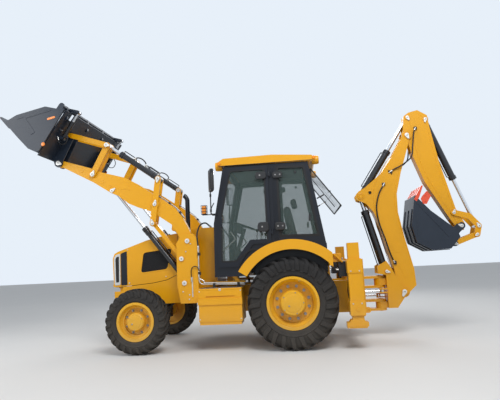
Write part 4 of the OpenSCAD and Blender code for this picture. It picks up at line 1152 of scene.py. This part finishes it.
turned(
    "beacon_lens", [(0, 19), (48, 19), (50, 30), (50, 78), (46, 94), (34, 102), (0, 103)], beacon,
    (0, 0, 1), amber, "root"
)
cage, amberMesh = bmesh.new(), bmesh.new()
for side in (1, -1):
    prismInto(
        amberMesh, rounded([(1268, 2064), (1332, 2064), (1334, 2192), (1266, 2192)], 22), side * 764,
        side * 832
    )
    prismInto(
        cage, rounded([(1258, 2056), (1342, 2056), (1342, 2066), (1258, 2066)], 4), side * 754, side * 842
    )
    for z in (2100, 2150, 2196):
        ring = [(1260, 756), (1340, 756), (1340, 840), (1260, 840), (1260, 756)]
        tubeInto(cage, bentPath([at(x, side * y, z) for x, y in ring], 16), 3.5, 8)
    for x, y in ((1260, 840), (1340, 840), (1340, 756), (1260, 756)):
        tubeInto(cage, [at(x, side * y, 2060), at(x, side * y, 2198)], 3.5, 8)
finished("indicator_lenses", amberMesh, amber, "root", bevel=5)
finished("indicator_cages", cage, black, "root")

# roof: gutter and head lining
pair("roof_gutter", [(1040, 2806), (1040, 2815), (-430, 2815), (-440, 2806)], 770, 794, black, "root", 1.5)
liner = bmesh.new()
prismInto(liner, rounded([(900, 2772), (900, 2798), (-280, 2798), (-280, 2772)], 10), -690, 690)
finished("head_lining", liner, trim, "root", bevel=6)

# seat: crowned cushions with sewn channels
def cushion(name, centre, size, lean, channels, crown, fill):
    bm = bmesh.new()
    nu, nv = 30, 22
    tilt = Matrix.Rotation(radians(lean), 4, "Y")
    sheets = []
    for face in (1, -1):
        grid = []
        for i in range(nu + 1):
            row = []
            for j in range(nv + 1):
                u, v = i / nu * 2 - 1, j / nv * 2 - 1
                pull = 1 - 0.06 * (1 - abs(u) ** 3) * abs(v) ** 6 - 0.02
                edge = (1 - u ** 8) * (1 - v ** 8)
                puff = max(edge, 0) ** 0.35
                seam = sum(
                    0.10 * 2.718 ** (-((u - s) / 0.035) ** 2)
                    for s in channels
                ) + 0.08 * 2.718 ** (-((abs(v) - 0.72) / 0.03) ** 2)
                height = size[2] / 2 * puff * (
                    1 + (crown * (1 - u * u) * (1 - v * v) - seam if face > 0 else 0)
                )
                row.append((size[0] / 2 * u * (1 - 0.03 * v * v), size[1] / 2 * v * pull, face * height))
            grid.append(row)
        sheets.append(grid)
    made = {}

    def vertex(face, i, j):
        border = i in (0, nu) or j in (0, nv)
        key = (0 if border else face, i, j)
        if key not in made:
            x, y, z = sheets[face][i][j]
            if border:
                z = 0
            made[key] = bm.verts.new(centre + tilt @ Vector((x, y, z)) / 1000)
        return made[key]

    for face in (0, 1):
        for i in range(nu):
            for j in range(nv):
                bm.faces.new(
                    (
                        vertex(face, i, j), vertex(face, i + 1, j), vertex(face, i + 1, j + 1),
                        vertex(face, i, j + 1)
                    )
                )
    made = finished(name, bm, cloth, "root", sharp=60)
    return made


# centre, size, lean, channels, crown and filling of each cushion
cushions = {
    "seat_cushion": ((240, 0, 1545), (470, 500, 150), -4, (-0.3, 0.25), 0.25, 0.75),
    "seat_backrest": ((-22, 0, 1885), (600, 480, 130), 101, (-0.35, 0.1, 0.5), 0.2, 0.75),
    "seat_headrest": ((-98, 0, 2232), (150, 250, 90), 101, (), 0.2, 0.8),
}
seat = {name: cushion(name, at(*centre), *rest) for name, (centre, *rest) in cushions.items()}
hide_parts("operator_station")
controls, grips, metal = bmesh.new(), bmesh.new(), bmesh.new()
prismInto(
    controls, rounded([(70, 1186), (390, 1186), (360, 1300), (400, 1470), (60, 1470), (100, 1300)], 20),
    -170, 170
)
for side in (1, -1):
    prismInto(
        controls,
        rounded([(60, 1186), (610, 1186), (600, 1520), (540, 1556), (80, 1556), (60, 1500)], 26),
        side * 405, side * 555
    )
    prismInto(
        controls, rounded([(-20, 1740), (250, 1752), (262, 1790), (-20, 1785)], 14), side * 262,
        side * 320
    )
    for x, tall in ((440, 200), (500, 210), (330, 150), (250, 150)):
        tubeInto(
            metal,
            smoothPath(
                [
                    at(x, side * 480, 1550), at(x + 20, side * 476, 1550 + tall * 0.6),
                    at(x + 12, side * 470, 1550 + tall)
                ],
                5
            ),
            6, 8
        )
        turnedInto(
            grips, [(0, -6), (14, 0), (20, 16), (21, 34), (15, 48), (0, 52)],
            at(x + 12, side * 470, 1548 + tall), (0.1, 0, 1), 16
        )
prismInto(controls, rounded([(856, 1186), (1010, 1186), (960, 1480), (900, 1520), (850, 1480)], 22), -88, 88)
tubeInto(controls, [at(905, 0, 1480), at(775, 0, 1862)], 34, 20)
prismInto(controls, rounded([(790, 1760), (930, 1800), (900, 1960), (800, 1900)], 30), -130, 130)
finished("cab_consoles", controls, trim, "root", bevel=7)
finished("control_levers", metal, wornSteel, "root")
finished("control_grips", grips, hoseRubber, "root")
steering = {"hub": (760, 0, 1900), "tilt": radians(22), "radius": 0.185, "rim": 14, "spokes": 3, "spoke": 9}
wheelTilt = Vector((-sin(steering["tilt"]), 0, cos(steering["tilt"])))
hub = at(*steering["hub"])
bm = bmesh.new()
side, other = Vector((0, 1, 0)), Vector((0, 1, 0)).cross(wheelTilt)
turns = [2 * pi * i / 48 for i in range(49)]
rim = [hub + (side * cos(a) + other * sin(a)) * steering["radius"] for a in turns]
tubeInto(bm, rim, steering["rim"], 12)
turnedInto(bm, [(0, -26), (40, -24), (46, 0), (34, 18), (0, 22)], hub, wheelTilt, 28)
for k in range(steering["spokes"]):
    a = 2 * pi * k / steering["spokes"] + pi / 6
    out = side * cos(a) + other * sin(a)
    spoke = [hub + out * 0.03 - wheelTilt * 0.01, hub + out * 0.11 - wheelTilt * 0.004, hub + out * 0.184]
    tubeInto(bm, spoke, steering["spoke"], 8)
finished("steering_wheel", bm, mould, "root")
print("cab done")


# Backhoe: weld beads, bosses, keeper plates, hoses, pipes and the tooth caps
boomFoot, boomCylFoot = pinAt("boom_lower"), pinAt("boom_barrel_turn")
earPin, dipperPin = pinAt("dipper_barrel_turn"), pinAt("dipper_out")
bucketCylFoot, nosePin = pinAt("hoe_bucket_barrel_turn"), pinAt("hoe_bucket_open")
idlerPin, hoeLinkPin = pinAt("idler_turn"), pinAt("hoe_link_turn")
dipperRodPin, idlerRodPin, idlerLinkPin = (-2095, 3579), (-3029, 1685), (-2992, 1549)
gland("boom", boomCylFoot, earPin, 1040, 60, 34, (0,), "boom_barrel")
gland("dipper", along(earPin, dipperRodPin, 70), dipperRodPin, 850, 56, 32, (0,), "dipper_barrel")
gland("hoe_bucket", bucketCylFoot, idlerRodPin, 1110, 54, 30, (0,), "hoe_bucket_barrel")

bm = bmesh.new()
for line in (
    (
        (-1733, 2898), (-1478, 2500), (-1425, 2303), (-1414, 2086), (-1449, 1868), (-1560, 1400),
        (-1630, 1080)
    ),
    ((-1913, 2838), (-1766, 2297), (-1763, 1973), (-1856, 1507), (-1915, 1150))
):
    beadPairInto(bm, line, 110, 3.6)
for centre, r in ((earPin, 58), (dipperPin, 60), (boomFoot, 74)):
    roundBeadPairInto(bm, centre, r, 110, 3.2)
finished("boom_weld_beads", bm, yellow, "boom")
bm, holeShade = bmesh.new(), bmesh.new()
turnedPairInto(
    bm, [(34, -1), (52, -1), (52, 7), (50, 9), (36, 9), (34, 7)], (earPin[0], 109.5, earPin[1]), 36, True
)
turnedPairInto(bm, [(26, -1), (38, -1), (38, 4), (36, 6), (28, 6), (26, 4)], (-1367, 109.5, 2330), 32, True)
# painted shade: a thin near-black disc inside the boss ring stands in for the shade inside its hole
turnedPairInto(holeShade, [(0, 0.6), (26, 0.6), (26, 1.6), (0, 1.6)], (-1367, 109.5, 2330), 32)
prismPairInto(bm, rounded([(-1733, 1120), (-1841, 1114), (-1858, 932), (-1793, 906)], 16), 109, 114)
prismPairInto(bm, rounded([(-1581, 1494), (-1694, 1321), (-1788, 1316), (-1831, 1455)], 22), 109, 113)
finished("boom_bosses", bm, yellow, "boom", bevel=1.2)
finished("boom_hole_shade", holeShade, paintedShade, "boom")
bm = bmesh.new()
beadPairInto(
    bm, ((-2110, 3600), (-2160, 3300), (-2190, 3000), (-2310, 2560), (-2600, 1960), (-2740, 1720)), 80, 3
)
beadPairInto(
    bm, ((-2290, 3620), (-2390, 3500), (-2410, 3300), (-2490, 2780), (-2660, 2060), (-2780, 1760)), 80, 3
)
for centre, r in ((nosePin, 56), (idlerPin, 54), (bucketCylFoot, 50)):
    roundBeadPairInto(bm, centre, r, 80, 2.8)
finished("dipper_weld_beads", bm, yellow, "dipper")

hoeKeepers = {
    "boom": [(dipperPin, -110, 122, 34, 60)],
    "dipper": [
        (dipperRodPin, -115, 92, 28, 50), (bucketCylFoot, -80, 92, 28, 50), (idlerPin, 110, 111, 26, 44)
    ],
    "idler": [(idlerRodPin, 60, 118, 30, 44), (idlerLinkPin, -30, 118, 24, 38)],
    "kingpost": [(boomFoot, -64, 163, 36, 68), (boomCylFoot, 200, 163, 26, 44)],
    "hoe_bucket": [(hoeLinkPin, 210, 124, 26, 40), (nosePin, 20, 114, 28, 46)]
}
for body, plates in hoeKeepers.items():
    plate, dark = bmesh.new(), bmesh.new()
    for centre, heading, y, size, length in plates:
        keeperInto(plate, dark, centre, heading, y, (1, -1), size, length)
    finished(f"keeper_plates_{body}", plate, pinPaint, body, bevel=1.2)
    finished(f"keeper_centres_{body}", dark, wornSteel, body)

# hoses: over the boom to the dipper, and up the boom
hoeHoses = {"dipper": 22, "boom": 22}
for side, hand in ((1, "left"), (-1, "right")):
    hose(
        f"dipper_hose_{hand}",
        onSide(
            side,
            (
                (-1730, 122, 2660), (-1800, 132, 2700), (-1930, 146, 2760), (-2080, 152, 2880),
                (-2120, 146, 3060), (-2165, 120, 3290), (-2200, 96, 3370)
            )
        ),
        hoeHoses["dipper"], "boom", "dipper"
    )
    hose(
        f"boom_hose_{hand}",
        onSide(
            side,
            (
                (-1655, 122, 1170), (-1600, 138, 1320), (-1540, 136, 1560), (-1470, 134, 1820),
                (-1452, 130, 2080), (-1510, 128, 2300), (-1600, 124, 2450)
            )
        ),
        hoeHoses["boom"], "boom"
    )
clips = bmesh.new()
prismPairInto(clips, [(-1760, 2640), (-1700, 2690), (-1690, 2670), (-1750, 2620)], 109, 134)
prismPairInto(clips, [(-1640, 1130), (-1690, 1130), (-1690, 1190), (-1640, 1190)], 109, 132)
prismPairInto(clips, [(-1575, 2430), (-1625, 2430), (-1625, 2480), (-1575, 2480)], 109, 130)
finished("boom_hose_clips", clips, black, "boom", bevel=2)
clips = bmesh.new()
prismPairInto(clips, [(-2180, 3350), (-2230, 3350), (-2230, 3400), (-2180, 3400)], 79, 106)
finished("dipper_hose_clips", clips, black, "dipper", bevel=2)

# steel pipes along the backhoe's cylinders
for name, foot, head, body, radius, near, far, turnSide in (
    ("boom_barrel", boomCylFoot, earPin, "boom_barrel", 60, 130, 960, -1),
    ("dipper_barrel", along(earPin, dipperRodPin, 70), dipperRodPin, "dipper_barrel", 56, 110, 780, -1),
    ("hoe_bucket_barrel", bucketCylFoot, idlerRodPin, "hoe_bucket_barrel", 54, 120, 1040, 1)
):
    tubes, ports = bmesh.new(), bmesh.new()
    out = Vector((*along((0, 0), (head[0] - foot[0], head[1] - foot[1]), 0, turnSide), 0)).xzy
    line = [
        along(foot, head, near, turnSide * (radius - 6)),
        along(foot, head, near, turnSide * (radius + 22)),
        along(foot, head, far, turnSide * (radius + 22)), along(foot, head, far, turnSide * (radius - 6))
    ]
    tubeInto(tubes, bentPath([at(x, 0, z) for x, z in line], 20), 8)
    for d in (near, far):
        x, z = along(foot, head, d, turnSide * (radius - 4))
        turnedInto(ports, [(0, -6), (14, -6), (14, 9), (10, 12), (0, 14)], at(x, 0, z), out, 16)
    finished(f"{name}_pipe", tubes, barrelPaint, body)
    finished(f"{name}_ports", ports, zinc, body)

# digging bucket: tooth caps, side cutters, wear strips and cheek ribs
caps, cutters, ribs = bmesh.new(), bmesh.new(), bmesh.new()
teeth = {"count": 5, "pitch": 150, "half": 33, "sleeve": 6}
tooth = [(-2008, 2150), (-2046, 2112), (-2100, 2192), (-2166, 2362), (-2142, 2364), (-2040, 2200)]
sleeve = [(-2026, 2172), (-2052, 2130), (-2086, 2180), (-2060, 2222)]
for i in range(teeth["count"]):
    y = (i - (teeth["count"] - 1) // 2) * teeth["pitch"]
    half, wide = teeth["half"], teeth["half"] + teeth["sleeve"]
    prismInto(caps, rounded(tooth, 9, 3), y - half, y + half)
    prismInto(caps, rounded(sleeve, 7, 3), y - wide, y + wide)
prismPairInto(
    cutters,
    rounded(
        [(-2110, 2150), (-2136, 2192), (-2216, 2271), (-2274, 2191), (-2195, 2060), (-2140, 2066)], 12
    ),
    328.5, 336
)
for x, z in ((-2180, 2200), (-2170, 2110)):
    boltPairInto(cutters, (x, 335.5, z), 13, 9)
prismPairInto(ribs, roundBar((-2050, 2090), (-2480, 1540), 12), 329, 336)
prismPairInto(ribs, roundBar((-2030, 1880), (-2020, 1560), 9), 329, 334)
outer = [(-1983, 2001), (-1932, 1731), (-1988, 1464), (-2216, 1331), (-2493, 1338)]
for y in (-230, 0, 230):
    for a, b in zip(outer, outer[1:]):
        n = along(a, b, 0, 12)
        m = along(a, b, ((b[0] - a[0]) ** 2 + (b[1] - a[1]) ** 2) ** 0.5, 12)
        prismInto(ribs, [a, b, m, n], y - 30, y + 30)
finished("tooth_caps", caps, redTooth, "hoe_bucket", bevel=3)
finished("side_cutters", cutters, redTooth, "hoe_bucket", bevel=2)
finished("hoe_bucket_ribs", ribs, navy, "hoe_bucket", bevel=1.5)
print("backhoe done")


# Cowl pipes and hoses, bracket under the cab, fender liners, stabilisers and rear frame
pipes, clampMesh = bmesh.new(), bmesh.new()
for side in (1, -1):
    for y, line in (
        (716, ((1433, 1513), (1433, 985), (722, 957))),
        (720, ((1433, 1120), (1433, 1075), (1357, 1030), (1357, 1002), (735, 978)))
    ):
        tubeInto(pipes, bentPath([at(x, side * y, z) for x, z in line], 70), 10, 12)
        turnedInto(
            pipes, [(0, -20), (16, -20), (16, 16), (0, 16)], at(line[0][0], side * y, line[0][1]),
            (0, 0, 1), 6
        )
    for z in (1450, 1150):
        prismInto(clampMesh, block((1404, 1448), (z - 24, z + 24)), side * 700, side * 730)
    for x in (1200, 820):
        prismInto(clampMesh, block((x - 20, x + 20), (924, 992)), side * 704, side * 736)
finished("cowl_pipes", pipes, zinc, "root")
finished("cowl_pipe_clamps", clampMesh, mould, "root", bevel=3)
for side, hand in ((1, "left"), (-1, "right")):
    hose(
        f"cowl_hose_{hand}",
        onSide(
            side,
            (
                (1433, 716, 1545), (1440, 716, 1640), (1452, 690, 1770), (1420, 610, 1905),
                (1350, 520, 1950), (1290, 425, 1900)
            )
        ),
        24, "root"
    )
    hose(
        f"tower_hose_{hand}",
        onSide(
            side,
            (
                (1433, 718, 1148), (1433, 720, 1200), (1452, 723, 1244), (1495, 726, 1262),
                (1538, 723, 1244), (1557, 720, 1200), (1557, 717, 1130), (1557, 716, 1060)
            )
        ),
        14, "root"
    )
bm = bmesh.new()
prismPairInto(bm, rounded([(1539, 795), (1556, 795), (1556, 1100), (1539, 1100)], 3), 699, 704)
for x, z in ((1596, 829), (1602, 760), (1640, 1500), (1560, 1620), (1700, 880)):
    boltPairInto(bm, (x, 699.8, z), 12, 8)
finished("tower_bolts", bm, zinc, "root")
bm = bmesh.new()
prismPairInto(bm, [(925, 1165), (1010, 1165), (862, 1010), (790, 1010)], 640, 700)
prismPairInto(bm, block((720, 1180), (985, 1012)), 600, 690)
finished("cab_step_brackets", bm, yellow, "root", bevel=3)
fittings = bmesh.new()
for side in (1, -1):
    for x, z, r, tall in ((700, 1120, 22, 90), (760, 1110, 14, 60), (640, 1100, 17, 70)):
        turnedInto(
            fittings,
            [
                (0, 0), (r, 0), (r, tall * 0.3), (r * 0.8, tall * 0.36), (r * 0.8, tall * 0.6),
                (r, tall * 0.66), (r, tall), (0, tall)
            ],
            at(x, side * 640, z), (-0.9, 0.5 * side, 0.1), 20
        )
finished("under_cab_fittings", fittings, zinc, "root")
liner = bmesh.new()
for side in (1, -1):
    outerArc = [(-10 + 902.5 * cos(radians(a)), 670 + 902.5 * sin(radians(a))) for a in range(34, 132, 3)]
    innerArc = [(-10 + 899 * cos(radians(a)), 670 + 899 * sin(radians(a))) for a in range(34, 132, 3)]
    rows = [
        [liner.verts.new(at(x, side * y, z)) for x, z in line]
        for line, y in ((outerArc, 766), (outerArc, 1043), (innerArc, 1043), (innerArc, 766))
    ]
    for a, b in zip(rows, rows[1:] + rows[:1]):
        for i in range(len(a) - 1):
            liner.faces.new((a[i], a[i + 1], b[i + 1], b[i]))
    for i in (0, -1):
        liner.faces.new([row[i] for row in rows])
finished("fender_liners", liner, mould, "root")

# Stabilisers and rear frame: ribbed pads, bolts, spools and hoses of the valve blocks, struts
pads = {"y": 1050, "half": 76, "ribs": 11, "first": -1012, "pitch": 26, "gussets": (58, 66)}
gusset = [(-1000, 383), (-775, 383), (-800, 420), (-980, 420)]
for side, hand in ((1, "left"), (-1, "right")):
    bm = bmesh.new()
    for k in range(pads["ribs"]):
        x = pads["first"] + k * pads["pitch"]
        rib = [(x, 303), (x + 10, 303), (x + 14, 341), (x - 4, 341)]
        prismInto(bm, rib, side * (pads["y"] - pads["half"]), side * (pads["y"] + pads["half"]))
    for toward in (-1, 1):
        near, far = (side * (pads["y"] + toward * g) for g in pads["gussets"])
        prismInto(bm, gusset, near, far)
    finished(f"pad_ribs_{hand}", bm, yellow, f"leg_{hand}", bevel=1.5)
bolts = bmesh.new()
for side in (1, -1):
    for z in (500, 640, 1090, 1230):
        for x in (-960, -840):
            boltInto(
                bolts, at(x, side * 1129.5 if z in (500, 1230) else side * 1139.5, z), (0, side, 0), 11, 8
            )
    for y in (250, 500, 760):
        for z in (470, 540):
            boltInto(bolts, at(-1000, side * y, z), (-1, 0, 0), 11, 8)
finished("rear_frame_bolts", bolts, zinc, "root")
valveBlock = {"spools": 4, "first": 600, "pitch": 74, "hose": 20, "spread": (0, 12, -10)}
valves = bmesh.new()
for side in (1, -1):
    for k in range(valveBlock["spools"]):
        y = side * (valveBlock["first"] + k * valveBlock["pitch"])
        turnedInto(
            valves, [(0, 0), (20, 0), (20, 18), (13, 22), (13, 44), (16, 48), (16, 60), (0, 62)],
            at(-760, y, 1224), (0, 0, 1), 18
        )
        turnedInto(
            valves, [(0, 0), (18, 0), (18, 14), (12, 18), (12, 30), (0, 32)], at(-701, y, 1110),
            (1, 0, 0), 18
        )
finished("valve_spools", valves, zinc, "root")
bm = bmesh.new()
for side in (1, -1):
    tubeInto(bm, [at(-759, side * 900, 1221), at(-634, side * 900, 1343)], 16, 14)
    prismInto(
        bm, rounded([(-615, 1352), (-750, 1352), (-750, 1226), (-615, 1226)], 10), side * 690, side * 870
    )
finished("rear_struts", bm, yellow, "root", bevel=4)
for side, hand in ((1, "left"), (-1, "right")):
    for k, aside in enumerate(valveBlock["spread"]):
        y = valveBlock["first"] + k * valveBlock["pitch"]
        hose(
            f"valve_hose_{hand}_{k}",
            onSide(
                side,
                (
                    (-850, y, 1004), (-848, y + 3, 900), (-838 + aside, y + 18, 795),
                    (-846 + aside, y + 46, 690), (-868, y + 66, 584)
                )
            ),
            valveBlock["hose"], "root"
        )
print("rear done")


# Studio: pale floor and world, broad soft lamps
studio = {"floor": (0.70, 0.69, 0.67), "sky": (0.80, 0.87, 0.95), "key": 560, "fill": 240, "back": 200}
floorMaterial = surface("studio floor", studio["floor"], 0.8, patches=(0.4, 0.02), grain=(30, 0.01))
floorMesh = bpy.data.meshes.new("studio_floor")
floorMesh.from_pydata(
    [(-40, -40, -0.001), (40, -40, -0.001), (40, 40, -0.001), (-40, 40, -0.001)], [], [(0, 1, 2, 3)]
)
floorMesh.materials.append(floorMaterial)
floorObject = bpy.data.objects.new("studio_floor", floorMesh)
bpy.context.collection.objects.link(floorObject)

world = bpy.data.worlds.new("studio sky")
world.use_nodes = True
sky = world.node_tree
sky.nodes.clear()
rays = sky.nodes.new("ShaderNodeLightPath")
seen = sky.nodes.new("ShaderNodeMath")
seen.operation = "MAXIMUM"
mirrored = sky.nodes.new("ShaderNodeMath")
mirrored.operation = "MAXIMUM"
lit = sky.nodes.new("ShaderNodeBackground")
lit.inputs["Color"].default_value = (0.86, 0.92, 1.0, 1)
lit.inputs["Strength"].default_value = 0.50
backdrop = sky.nodes.new("ShaderNodeBackground")
backdrop.inputs["Color"].default_value = (*studio["sky"], 1)
backdrop.inputs["Strength"].default_value = 1.0
blendSky = sky.nodes.new("ShaderNodeMixShader")
output = sky.nodes.new("ShaderNodeOutputWorld")
sky.links.new(rays.outputs["Is Camera Ray"], mirrored.inputs[0])
sky.links.new(rays.outputs["Is Glossy Ray"], mirrored.inputs[1])
sky.links.new(mirrored.outputs[0], seen.inputs[0])
sky.links.new(rays.outputs["Is Transmission Ray"], seen.inputs[1])
sky.links.new(seen.outputs[0], blendSky.inputs["Fac"])
sky.links.new(lit.outputs[0], blendSky.inputs[1])
sky.links.new(backdrop.outputs[0], blendSky.inputs[2])
sky.links.new(blendSky.outputs[0], output.inputs["Surface"])
bpy.context.scene.world = world


def softLamp(name, place, target, power, size):
    data = bpy.data.lights.new(name, "AREA")
    data.shape = "DISK"
    data.size = size
    data.energy = power
    lamp = bpy.data.objects.new(name, data)
    bpy.context.collection.objects.link(lamp)
    lamp.location = place
    lamp.rotation_euler = (Vector(target) - Vector(place)).to_track_quat("-Z", "Y").to_euler()


softLamp("key lamp", (-2.5, 6.5, 8.5), (0, 0, 1.2), studio["key"], 4.5)
softLamp("fill lamp", (7.5, 5.0, 4.5), (0.5, 0, 1.5), studio["fill"], 5.0)
softLamp("back lamp", (-2.0, -7.0, 6.5), (0, 0, 1.5), studio["back"], 5.0)
bpy.context.scene.view_settings.view_transform = "Standard"
print("studio done")
